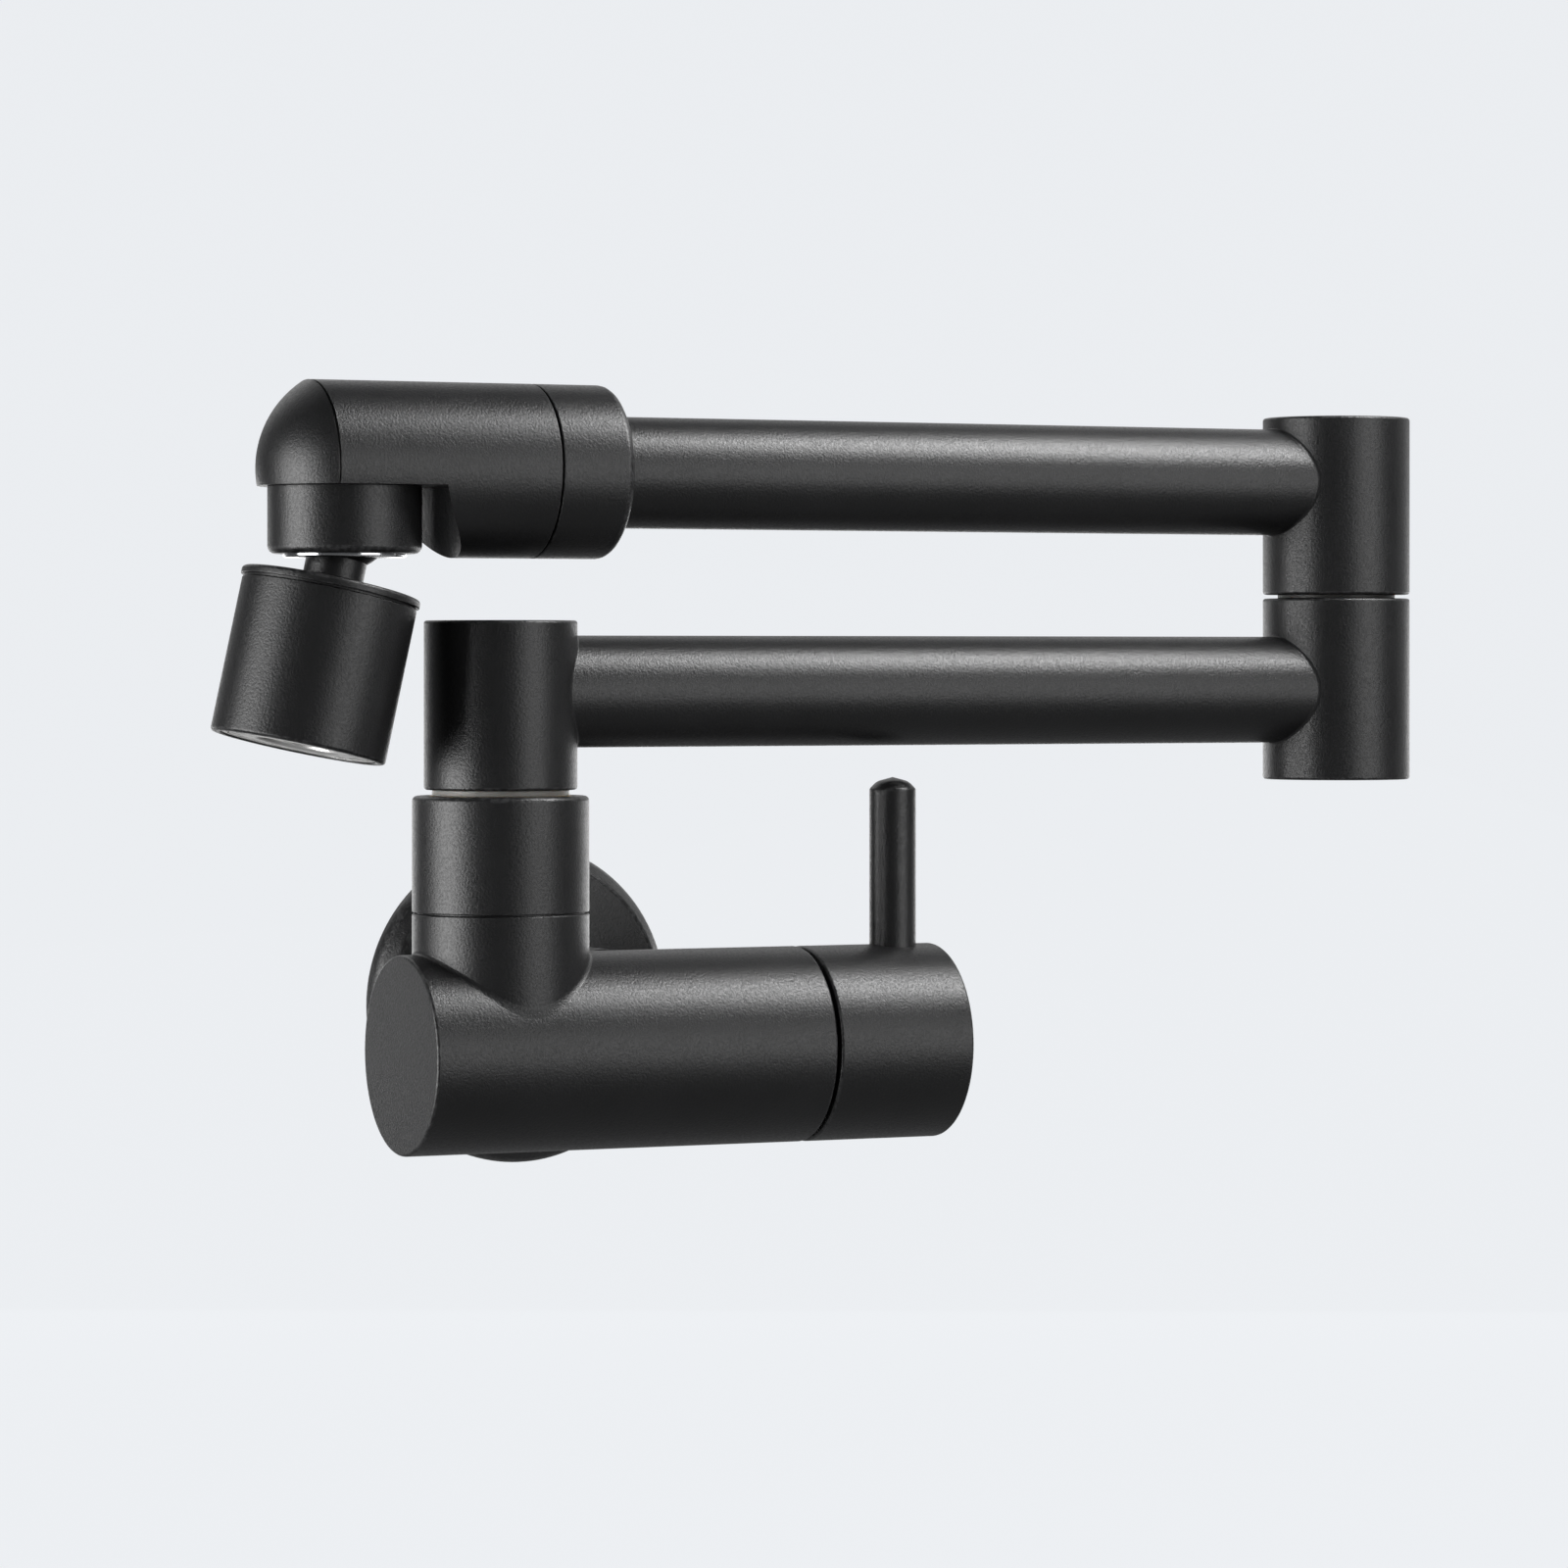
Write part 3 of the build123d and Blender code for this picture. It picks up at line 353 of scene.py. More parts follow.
def drawn(spindle: Spindle, rings: Sequence[Ring], section: Section) -> BMesh:
    """Draws a skin through round stations, each of which may be coped.

    Args:
        spindle: The axis.
        rings: The stations in order.
        section: RING joins the last station to the first, and SOLID caps both.

    Returns:
        The mesh, in its place.
    """
    work = bmesh.new()
    work.faces.layers.float.new(WEAR_AND_SHEEN)
    verts = bmesh.ops.create_circle(work, segments=SPIN_STEPS, radius=rings[0].radius)["verts"]
    rings[0].shape(verts)
    edges = work.edges[:]
    ends = list(edges)
    for ring in rings[1:]:
        grown = bmesh.ops.extrude_edge_only(work, edges=edges)["geom"]
        ring.shape([part for part in grown if isinstance(part, BMVert)])
        edges = [part for part in grown if isinstance(part, BMEdge)]
    ends += edges
    if section is Section.RING:
        bmesh.ops.bridge_loops(work, edges=ends)
    else:
        bmesh.ops.holes_fill(work, edges=ends, sides=0)
    bmesh.ops.recalc_face_normals(work, faces=work.faces[:])
    bmesh.ops.transform(work, matrix=spindle.matrix(), verts=work.verts[:])
    return work


def pin(spindle: Spindle, radius: float, start: float, end: float, sides: int = PIN_SIDES) -> BMesh:
    """Makes a plain pin or prism, used as a cutter.

    Args:
        spindle: The axis.
        radius: Radius, or the radius of the corners of a prism.
        start: Lower end along the axis.
        end: Upper end along the axis.
        sides: Number of sides.

    Returns:
        The closed mesh, in its place.
    """
    work = bmesh.new()
    work.faces.layers.float.new(WEAR_AND_SHEEN)
    bmesh.ops.create_cone(
        work,
        cap_ends=True,
        segments=sides,
        radius1=radius,
        radius2=radius,
        depth=end - start,
        matrix=spindle.matrix() @ Matrix.Translation(UP * ((start + end) / 2.0)),
    )
    return work


def link(name: str, work: BMesh) -> Object:
    """Turns a bmesh into a linked object.

    Args:
        name: Name of the object.
        work: The mesh, which is freed.

    Returns:
        The object, at the origin.
    """
    mesh = bpy.data.meshes.new(name)
    # Rounds the edges that the cutter left, and marks them for edge wear and a painted edge highlight.
    work.to_mesh(mesh)
    work.free()
    made = bpy.data.objects.new(name, mesh)
    bpy.context.scene.collection.objects.link(made)
    return made


def combined(work: BMesh, tools: Sequence[BMesh], operation: Operation) -> BMesh:
    """Cuts or joins closed meshes with an exact boolean.

    Args:
        work: The mesh that is changed, which is freed.
        tools: The meshes that cut it or join it, which are freed.
        operation: What they do.

    Returns:
        The new mesh.
    """
    base = link("workpiece", work)
    helpers = [base]
    for tool in tools:
        helper = link("tool", tool)
        change = base.modifiers.new("shape", "BOOLEAN")
        change.object = helper
        change.operation = operation.value
        change.solver = "EXACT"
        helpers.append(helper)
    bpy.context.view_layer.update()
    result = bmesh.new()
    result.from_object(base, bpy.context.evaluated_depsgraph_get())
    for helper in helpers:
        mesh = helper.data
        bpy.data.objects.remove(helper)
        bpy.data.meshes.remove(mesh)
    bmesh.ops.remove_doubles(result, verts=result.verts[:], dist=BOOLEAN_WELD)
    return result


# Finishes


@dataclass(frozen=True)
class Pattern:
    """A noise pattern on a piece.

    Attributes:
        size: Size of one speck.
        octaves: Octaves of finer specks.
        stretch: How many times finer the pattern is along each axis.
    """

    size: float
    octaves: float = 2.0
    stretch: Colour = (1.0, 1.0, 1.0)


class Shader:
    """Lays out the nodes of one procedural material."""

    def __init__(self, name: str) -> None:
        """Starts a material with its shader.

        Args:
            name: Name of the material.
        """
        self.material = bpy.data.materials.new(name)
        self.material.use_nodes = True
        self.tree = self.material.node_tree
        self.surface = self.tree.nodes["Principled BSDF"]
        self.point = self.node("TexCoord").outputs["Object"]

    def fill(self, node: Node, inputs: dict[str, Input]) -> None:
        """Links or sets inputs of a node.

        Args:
            node: The node.
            inputs: What goes into each input, named with underscores for spaces.
        """
        for name, value in inputs.items():
            socket = node.inputs[name.replace("_", " ")]
            if isinstance(value, NodeSocket):
                self.tree.links.new(value, socket)
            else:
                socket.default_value = (*value, 1.0) if socket.type == "RGBA" else value

    def node(self, kind: str, **inputs: Input) -> Node:
        """Adds a node.

        Args:
            kind: Its kind.
            **inputs: What goes into each input, named with underscores for spaces.

        Returns:
            The node.
        """
        made = self.tree.nodes.new("ShaderNode" + kind)
        self.fill(made, inputs)
        return made

    def dress(self, **inputs: Input) -> None:
        """Gives the shader itself its inputs."""
        self.fill(self.surface, inputs)

    def noise(self, pattern: Pattern) -> NodeSocket:
        """Adds a noise pattern on the piece.

        Args:
            pattern: The pattern.

        Returns:
            The pattern's value socket.
        """
        spot = self.node("Mapping", Vector=self.point, Scale=pattern.stretch)
        noise = self.node(
            "TexNoise",
            Vector=spot.outputs["Vector"],
            Scale=1.0 / pattern.size,
            Detail=pattern.octaves,
            Roughness=NOISE_ROUGHNESS,
        )
        return noise.outputs["Fac"]

    def lathe_rings(self, spindle: Spindle, pitch: float) -> NodeSocket:
        """Adds turned rings about an axis.

        Args:
            spindle: The axis.
            pitch: Distance from ring to ring.

        Returns:
            The pattern's value socket.
        """
        turn = spindle.direction.rotation_difference(UP)
        spot = self.node(
            "Mapping", Vector=self.point, Rotation=turn.to_euler(), Location=-(turn @ spindle.origin)
        )
        wave = self.node(
            "TexWave",
            Vector=spot.outputs["Vector"],
            Scale=math.tau / (WAVE_RATE * pitch),
            Distortion=RING_WANDER,
            Detail_Scale=RING_WANDER_RATE,
        )
        wave.wave_type = "RINGS"
        wave.rings_direction = "Z"
        return wave.outputs["Fac"]

    def wear_and_sheen(self, pattern: Pattern, share: float) -> NodeSocket:
        """Adds broken edge wear and a painted highlight along the rounded edges.

        Args:
            pattern: The spots of wear and highlight.
            share: How much of an edge carries them, from 0 to 1.

        Returns:
            A socket that is 1 where an edge carries wear and the painted highlight.
        """
        edge = self.node("Attribute")
        edge.attribute_name = WEAR_AND_SHEEN
        reach = WEAR_AND_SHEEN_REACH * share
        spots = self.span(self.noise(pattern), WHOLE, (WEAR_AND_SHEEN_START - reach, WEAR_AND_SHEEN_FULL - reach))
        both = self.node("Math")
        both.operation = "MULTIPLY"
        self.tree.links.new(edge.outputs["Fac"], both.inputs[0])
        self.tree.links.new(spots, both.inputs[1])
        return both.outputs["Value"]

    def span(self, source: NodeSocket, result: Span, given: Span = NOISE_RANGE) -> NodeSocket:
        """Maps a value from one range to another.

        Args:
            source: The value.
            result: The ends of the result.
            given: The values that give those ends.

        Returns:
            The result's socket.
        """
        span = self.node(
            "MapRange", Value=source, From_Min=given[0], From_Max=given[1], To_Min=result[0], To_Max=result[1]
        )
        return span.outputs["Result"]

    def between(self, source: NodeSocket, first: Colour, second: Colour) -> NodeSocket:
        """Mixes two colours.

        Args:
            source: Gives the first colour at 0 and the second at 1.
            first: The first colour.
            second: The second colour.

        Returns:
            The colour's socket.
        """
        ramp = self.node("ValToRGB", Fac=source)
        for element, colour in zip(ramp.color_ramp.elements, (first, second)):
            element.color = (*colour, 1.0)
        return ramp.outputs["Color"]

    def blend(self, source: NodeSocket, first: NodeSocket, second: NodeSocket) -> NodeSocket:
        """Mixes two linked colours.

        Args:
            source: Gives the first colour at 0 and the second at 1.
            first: The first colour's socket.
            second: The second colour's socket.

        Returns:
            The mixed colour's socket.
        """
        mix = self.node("Mix", Factor=source)
        mix.data_type = "RGBA"
        colours = [socket for socket in mix.inputs if socket.type == "RGBA"]
        for socket, colour in zip(colours, (first, second)):
            self.tree.links.new(colour, socket)
        return next(socket for socket in mix.outputs if socket.type == "RGBA")

    def bump(self, *layers: tuple[NodeSocket, float]) -> None:
        """Raises the surface by patterns.

        Args:
            *layers: Each pattern with its height, from the lowest layer up.
        """
        below: dict[str, Input] = {}
        for source, height in layers:
            bump = self.node("Bump", Height=source, Distance=height, **below)
            below = {"Normal": bump.outputs["Normal"]}
        self.dress(**below)


@dataclass(frozen=True)
class Finish:
    """A surface finish.

    Attributes:
        name: Name of the material.
        slot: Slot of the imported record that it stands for.
    """

    name: str
    slot: Slot

    def material(self) -> Material:
        """Gives the material, which is made once.

        Returns:
            The material.
        """
        made = bpy.data.materials.get(self.name)
        if made is None:
            shader = Shader(self.name)
            self.lay_out(shader)
            made = shader.material
        return made

    def lay_out(self, shader: Shader) -> None:
        """Lays out the nodes of the finish in a fresh shader."""
        raise NotImplementedError


@dataclass(frozen=True)
class PowderCoat(Finish):
    """Matte black baked powder, with a fine grain, orange peel and lighter rounded edges that carry edge wear and
    a painted highlight.
    """

    name: str = "black_powder_coat"
    slot: Slot = Slot.BLACK
    deep: Colour = (0.0065, 0.0065, 0.0068)
    pale: Colour = (0.0105, 0.0105, 0.0110)
    # Lighter colour of the rounded edges: edge wear together with a painted highlight along them.
    rubbed_and_sheen: Colour = (0.050, 0.050, 0.051)
    roughness: Span = (0.30, 0.47)
    ior: float = 1.5
    grain: Pattern = Pattern(0.46 * MM)
    grain_height: float = 0.064 * MM
    peel: Pattern = Pattern(1.9 * MM, 1.0)
    peel_height: float = 0.010 * MM
    clouds: Pattern = Pattern(14.0 * MM, 3.0)
    wear_and_sheen_spots: Pattern = Pattern(1.1 * MM, 3.0)
    wear_and_sheen_share: float = 0.55

    def lay_out(self, shader: Shader) -> None:
        """Lays out grain, orange peel, clouding, and lighter rounded edges of edge wear with a painted highlight.

        Args:
            shader: The fresh shader.
        """
        grain = shader.noise(self.grain)
        peel = shader.noise(self.peel)
        clouds = shader.span(shader.noise(self.clouds), WHOLE)
        coat = shader.between(clouds, self.deep, self.pale)
        # Rounded edges are lightened in the colour: edge wear plus a painted edge highlight.
        bare_and_sheen = shader.between(grain, self.rubbed_and_sheen, self.pale)
        wear_and_sheen = shader.wear_and_sheen(self.wear_and_sheen_spots, self.wear_and_sheen_share)
        shader.dress(
            Base_Color=shader.blend(wear_and_sheen, coat, bare_and_sheen),
            Roughness=shader.span(grain, self.roughness),
            IOR=self.ior,
        )
        shader.bump((peel, self.peel_height), (grain, self.grain_height))


@dataclass(frozen=True)
class Mottled(Finish):
    """A plain material with soft spots in its colour and gloss, and a fine raised grain.

    Attributes:
        deep: Colour of the spots.
        pale: Colour between them.
        roughness: Roughness in the spots and between them.
        spots: The spots.
        relief: Height of the grain.
        grain: The grain, if it isn't the spots themselves.
        metallic: 1 for a metal.
        milkiness: Share of the light that scatters inside.
        milk_depth: How deep it scatters.
    """

    deep: Colour
    pale: Colour
    roughness: Span
    spots: Pattern
    relief: float
    grain: Pattern | None = None
    metallic: float = 0.0
    milkiness: float = 0.0
    milk_depth: float = 1.0 * MM

    def lay_out(self, shader: Shader) -> None:
        """Lays out the spots and the grain.

        Args:
            shader: The fresh shader.
        """
        spots = shader.noise(self.spots)
        grain = shader.noise(self.grain) if self.grain else spots
        shader.dress(
            Base_Color=shader.between(spots, self.deep, self.pale),
            Roughness=shader.span(spots, self.roughness),
            Metallic=self.metallic,
        )
        if self.milkiness > 0.0:
            shader.dress(Subsurface_Weight=self.milkiness, Subsurface_Scale=self.milk_depth)
        shader.bump((grain, self.relief))


@dataclass(frozen=True)
class BrightPlate(Finish):
    """Plated bright metal, turned about the axis of the piece.

    Attributes:
        spindle: Axis of the turned rings.
        pitch: Distance between the rings.
        ring_height: Height of the rings.
        tone: Colour of the plating.
        dulling: How much of that colour is left under water haze.
        haze: The haze.
        rough: Lowest roughness.
        rough_spread: How much the haze adds to it.
    """

    name: str = "bright_plate"
    slot: Slot = Slot.BRIGHT
    spindle: Spindle = Spindle(Vector(), UP)
    pitch: float = 0.3 * MM
    ring_height: float = 0.004 * MM
    tone: Colour = (0.78, 0.79, 0.80)
    dulling: float = 0.82
    haze: Pattern = Pattern(4.0 * MM, 3.0)
    rough: float = 0.16
    rough_spread: float = 0.1

    def lay_out(self, shader: Shader) -> None:
        """Lays out turned rings and water haze.

        Args:
            shader: The fresh shader.
        """
        haze = shader.noise(self.haze)
        dull = tuple(self.dulling * part for part in self.tone)
        shader.dress(
            Base_Color=shader.between(haze, dull, self.tone),
            Roughness=shader.span(haze, (self.rough, self.rough + self.rough_spread)),
            Metallic=1.0,
        )
        shader.bump((shader.lathe_rings(self.spindle, self.pitch), self.ring_height))


COAT = PowderCoat()
SEAL = Mottled(
    "sealing_rubber",
    Slot.RUBBER,
    deep=(0.014, 0.014, 0.014),
    pale=(0.034, 0.033, 0.032),
    roughness=(0.62, 0.8),
    spots=Pattern(2.6 * MM, 4.0),
    relief=0.02 * MM,
    grain=Pattern(0.5 * MM),
)
BARE_BRASS = Mottled(
    "turned_brass",
    Slot.BRASS,
    deep=(0.62, 0.41, 0.16),
    pale=(0.74, 0.54, 0.26),
    roughness=(0.24, 0.38),
    spots=Pattern(5.0 * MM, 4.0),
    relief=0.004 * MM,
    grain=Pattern(0.22 * MM, 1.0),
    metallic=1.0,
)
# Brass of the cartridge housing darkened to painted shade, because it shows only inside the groove between barrel
# and handle.
GROOVE_SHADE_BRASS = replace(
    BARE_BRASS, name="brass_with_painted_groove_shade", deep=(0.016, 0.014, 0.012), pale=(0.030, 0.027, 0.023)
)
SCREW = Mottled(
    "screw_steel",
    Slot.STEEL,
    deep=(0.16, 0.16, 0.165),
    pale=(0.30, 0.30, 0.31),
    roughness=(0.28, 0.42),
    spots=Pattern(1.4 * MM, 3.0),
    relief=0.004 * MM,
    grain=Pattern(0.15 * MM, 1.0, (1.0, 1.0, 6.0)),
    metallic=1.0,
)
GLIDE = Mottled(
    "bearing_acetal",
    Slot.ACETAL,
    deep=(0.25, 0.24, 0.225),
    pale=(0.34, 0.33, 0.31),
    roughness=(0.38, 0.55),
    spots=Pattern(1.2 * MM, 3.0),
    relief=0.006 * MM,
    grain=Pattern(0.3 * MM),
    milkiness=0.1,
)
# Darker copy of the acetal for the ring in the narrow knuckle gap: painted shade of the gap, not another colour of
# the part.
GAP_SHADE_GLIDE = replace(GLIDE, name="acetal_with_painted_gap_shade", deep=(0.055, 0.053, 0.050), pale=(0.090, 0.088, 0.084))
DISC = Mottled(
    "lapped_ceramic",
    Slot.CERAMIC,
    deep=(0.74, 0.72, 0.67),
    pale=(0.83, 0.82, 0.78),
    roughness=(0.10, 0.20),
    spots=Pattern(0.25 * MM),
    relief=0.002 * MM,
)
HONEYCOMB = Mottled(
    "aerator_plastic",
    Slot.WHITE,
    deep=(0.66, 0.67, 0.67),
    pale=(0.78, 0.79, 0.79),
    roughness=(0.35, 0.5),
    spots=Pattern(1.6 * MM, 4.0),
    relief=0.02 * MM,
)


def place(name: str, work: BMesh, body: Body, finish: Finish, *nodes: str) -> None:
    """Puts a finished mesh into the scene as a piece of the tap.

    Args:
        name: Name of the piece.
        work: The mesh, which is freed.
        body: Body that it rides on.
        finish: Its finish.
        *nodes: Solids that it stands for.
    """
    piece = link(name, work)
    piece.data.materials.clear()
    piece.data.materials.append(finish.material())
    piece.data.shade_smooth()
    piece.data.set_sharp_from_angle(angle=SHARP_ANGLE)
    normals = piece.modifiers.new("weighted normals", "WEIGHTED_NORMAL")
    normals.keep_sharp = True
    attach(piece, body.value)
    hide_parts(*nodes)
    LOG.info("%s: %d faces on %s", name, len(piece.data.polygons), body.value)


def place_ring(
    name: str, spindle: Spindle, corners: Sequence[Corner], body: Body, finish: Finish, node: str
) -> None:
    """Turns a piece that has a bore, and puts it into the scene.

    Args:
        name: Name of the piece.
        spindle: The axis.
        corners: The profile's corners in order.
        body: Body that it rides on.
        finish: Its finish.
        node: Solid that it stands for.
    """
    place(name, turned(spindle, corners, Section.RING), body, finish, node)


# Places of the tap


def joint_vector(name: str, key: str) -> Vector:
    """Gives the place or the axis of a packed joint."""
    return Vector(next(joint[key] for joint in frame["joints"] if joint["name"] == name))


def middle(node: str) -> Vector:
    """Gives the middle of a solid's box."""
    low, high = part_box(node)
    return (low + high) / 2.0


@dataclass(frozen=True)
class Layout:
    """The axes of the tap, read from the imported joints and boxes.

    Lengths along the upright axes are heights in the frame, lengths along the barrel and the tubes
    are places in X, and lengths along the inlet are places in Y. Along the spray they are counted
    up from the middle of the ball.
    """

    inlet: Spindle
    barrel: Spindle
    riser: Spindle
    knuckle: Spindle
    socket: Spindle
    lower_tube: Spindle
    upper_tube: Spindle
    lever: Spindle
    spray: Spindle

    @classmethod
    def from_frame(cls) -> "Layout":
        """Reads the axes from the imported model.

        Returns:
            The axes.
        """
        barrel = joint_vector("handle_turn", "pos_m")
        ball = joint_vector("ball_tilt", "pos_m")

        def lengthways(height: float) -> Spindle:
            """Lays an axis along X in the barrel's upright plane."""
            return Spindle(Vector((0.0, barrel.y, height)), RIGHT)

        return cls(
            inlet=Spindle(Vector(), BACK),
            barrel=lengthways(barrel.z),
            riser=upright(joint_vector("lower_arm_swing", "pos_m")),
            knuckle=upright(joint_vector("upper_arm_swing", "pos_m")),
            socket=upright(ball),
            lower_tube=lengthways(middle("lower_arm_tube").z),
            upper_tube=lengthways(middle("upper_arm_tube").z),
            lever=upright(middle("lever_rod")),
            spray=Spindle(ball, joint_vector("spray_spin", "axis").normalized()),
        )


AXES = Layout.from_frame()


# Sub-assemblies


@dataclass
class WallMount:
    """Cover plate on the wall, its seal and the threaded inlet."""

    rim: float = 3.0 * MM
    dish: float = 2.0 * MM
    brow_ease: float = 0.8 * MM
    shoulder: float = 1.6 * MM
    bore: float = 13.25 * MM
    wall: float = 2.4 * MM
    land: float = 2.0 * MM
    seal_width: float = 5.0 * MM
    seal_height: float = 1.6 * MM
    thread_pitch: float = 1.814 * MM
    thread_depth: float = 1.0 * MM
    thread_sink: float = 0.2 * MM
    thread_start: float = -0.6 * MM
    crest_share: float = 0.14
    foot_share: float = 0.98
    lead_in: float = 1.0 * MM
    tip_ease: float = 0.5 * MM
    key_size: float = 12.0 * MM
    turn_steps: int = 48

    def build(self) -> None:
        """Builds the three pieces."""
        self.build_plate()
        self.build_seal()
        self.build_inlet()

    def build_plate(self) -> None:
        """Turns the dished cover plate."""
        low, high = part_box("wall_flange")
        front = low.y
        radius = high.x
        seat = radius - self.land
        corners = [
            Corner(self.bore, front, SOFT_EASE),
            Corner(radius - self.rim, front + self.dish, self.brow_ease),
            Corner(radius, -self.rim, self.shoulder),
            Corner(radius, 0.0, EDGE_EASE),
            Corner(seat, 0.0, EDGE_EASE),
            Corner(seat, -self.seal_height),
            Corner(seat - self.seal_width, -self.seal_height),
            Corner(seat - self.seal_width, front + self.dish + self.wall),
            Corner(self.bore, front + self.wall),
        ]
        place_ring("cover_plate", AXES.inlet, corners, Body.BASE, COAT, "wall_flange")

    def build_seal(self) -> None:
        """Turns the flat ring that seals the plate to the wall."""
        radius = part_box("wall_gasket")[1].x
        corners = stepped(
            Land(radius - self.seal_width, -self.seal_height, start_ease=SOFT_EASE),
            Land(radius, 0.0, end_ease=SOFT_EASE),
        )
        place_ring("wall_seal", AXES.inlet, corners, Body.BASE, SEAL, "wall_gasket")

    def build_inlet(self) -> None:
        """Turns the inlet, winds its thread and broaches its hexagon."""
        low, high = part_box("inlet_nipple")
        root = high.x - self.thread_depth
        corners = stepped(Land(0.0, low.y), Land(root, high.y, SOFT_EASE, self.tip_ease))
        ridge = self.thread(root, high.x, high.y - self.lead_in)
        threaded = combined(turned(AXES.inlet, corners), [ridge], Operation.JOIN)
        key = self.key_size / math.sqrt(3.0)
        broach = pin(AXES.inlet, key, low.y - CUT_MARGIN, high.y + CUT_MARGIN, HEXAGON)
        inlet = combined(threaded, [broach], Operation.CUT)
        place("threaded_inlet", inlet, Body.BASE, BARE_BRASS, "inlet_nipple")

    def thread(self, root: float, crest: float, end: float) -> BMesh:
        """Winds the ridge of the thread.

        Args:
            root: Radius at the foot of the ridge.
            crest: Radius at its top.
            end: Place along the axis where the ridge runs out.

        Returns:
            The closed ridge, in its place.
        """
        turns = (end - self.thread_start) / self.thread_pitch - 1.0
        steps = int(turns * self.turn_steps)
        foot = root - self.thread_sink
        half = self.thread_pitch / 2.0
        section = (
            (foot, -self.foot_share),
            (crest, -self.crest_share),
            (crest, self.crest_share),
            (foot, self.foot_share),
        )
        work = bmesh.new()
        work.faces.layers.float.new(WEAR_AND_SHEEN)
        first = self.thread_start + half
        points = [work.verts.new((radius, 0.0, first + share * half)) for radius, share in section]
        loop = [work.edges.new(pair) for pair in pairwise([*points, points[0]])]
        bmesh.ops.spin(
            work,
            geom=points + loop,
            cent=(0.0, 0.0, 0.0),
            axis=UP,
            dvec=UP * (self.thread_pitch * turns / steps),
            angle=math.tau * turns,
            steps=steps,
            use_merge=False,
            use_duplicate=False,
        )
        bmesh.ops.holes_fill(work, edges=work.edges[:], sides=len(section))
        bmesh.ops.recalc_face_normals(work, faces=work.faces[:])
        bmesh.ops.transform(work, matrix=AXES.inlet.matrix(), verts=work.verts[:])
        return work


@dataclass
class ValveBody:
    """Casting with the barrel, the boss under the riser and the neck to the wall."""

    radius: float = 19.5 * MM
    end_ease: float = 0.6 * MM
    chamber: float = 12.05 * MM
    boss: float = 17.3 * MM
    boss_ease: float = 0.25 * MM
    neck: float = 13.0 * MM
    fillet: float = 0.9 * MM
    fillet_steps: int = 5
    sink: float = 0.04 * MM
    root: float = 2.0 * MM

    def build(self) -> None:
        """Turns the barrel and joins the boss and the neck to it."""
        low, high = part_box("valve_body")
        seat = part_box("seat_gasket")[0].x
        neck_start = AXES.barrel.origin.y + self.chamber + self.root
        barrel = stepped(
            Land(0.0, low.x),
            Land(self.radius, high.x, self.end_ease, self.end_ease),
            Land(self.chamber, seat),
        )
        neck = stepped(Land(0.0, neck_start), Land(self.neck, high.y, end_ease=self.boss_ease))
        added = [self.raised_boss(high.z), turned(AXES.inlet, neck)]
        casting = combined(turned(AXES.barrel, barrel), added, Operation.JOIN)
        place("tap_casting", casting, Body.BASE, COAT, "valve_body")

    def raised_boss(self, top: float) -> BMesh:
        """Draws the boss with its foot coped to the barrel.

        Args:
            top: Height of the boss's top.

        Returns:
            The closed boss, in its place.
        """
        rings = [
            Ring(self.boss - self.root, self.saddle(-self.root)),
            *fillet_rings(self.boss, self.fillet, self.fillet_steps, self.sink, self.saddle),
            Ring(self.boss, square(top - self.boss_ease)),
            Ring(self.boss - self.boss_ease, square(top)),
        ]
        return drawn(AXES.riser, rings, Section.SOLID)

    def saddle(self, rise: float) -> Line:
        """Gives the line round the boss that lies at a rise above the barrel."""
        axis = AXES.barrel.origin.z
        return lambda across: axis + math.sqrt(self.radius**2 - min(abs(across.y), self.radius) ** 2) + rise


@dataclass
class Handle:
    """Turned hub at the end of the barrel, with its upright lever."""

    radius: float = 19.5 * MM
    ease: float = 0.6 * MM
    cavity: float = 15.6 * MM
    cavity_room: float = 1.2 * MM
    stem_bore: float = 4.05 * MM
    screw_hole: float = 2.55 * MM
    lever: float = 4.7 * MM
    tip: float = 2.4 * MM
    tip_edge: float = 0.35 * MM
    tip_shoulder: float = 1.5 * MM
    tip_rise: float = 1.55 * MM
    tip_ease: float = 0.7 * MM

    def build(self) -> None:
        """Builds the hub and the lever."""
        self.build_hub()
        self.build_lever()

    def build_hub(self) -> None:
        """Turns the hub and drills it for its screw."""
        low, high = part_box("handle_hub")
        stem_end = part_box("cartridge_stem")[1].x
        cavity_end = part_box("stem_clip")[1].x + self.cavity_room
        corners = stepped(
            Land(0.0, stem_end),
            Land(self.stem_bore, cavity_end),
            Land(self.cavity, low.x),
            Land(self.radius, high.x, self.ease, self.ease),
        )
        drill = upright(middle("handle_set_screw"))
        hole = pin(drill, self.screw_hole, low.z - CUT_MARGIN, AXES.barrel.origin.z)
        hub = combined(turned(AXES.barrel, corners), [hole], Operation.CUT)
        place("handle_end", hub, Body.HANDLE, COAT, "handle_hub")

    def build_lever(self) -> None:
        """Turns the lever with its blunt tip."""
        low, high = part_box("lever_rod")
        tip = high.z - self.tip
        corners = [
            Corner(0.0, low.z),
            Corner(self.lever, low.z),
            Corner(self.lever, tip, self.tip_edge),
            Corner(self.lever - self.tip_shoulder, tip + self.tip_rise, self.tip_ease),
            Corner(0.0, high.z),
        ]
        place("lever", turned(AXES.lever, corners, steps=SLIM_STEPS), Body.HANDLE, COAT, "lever_rod")


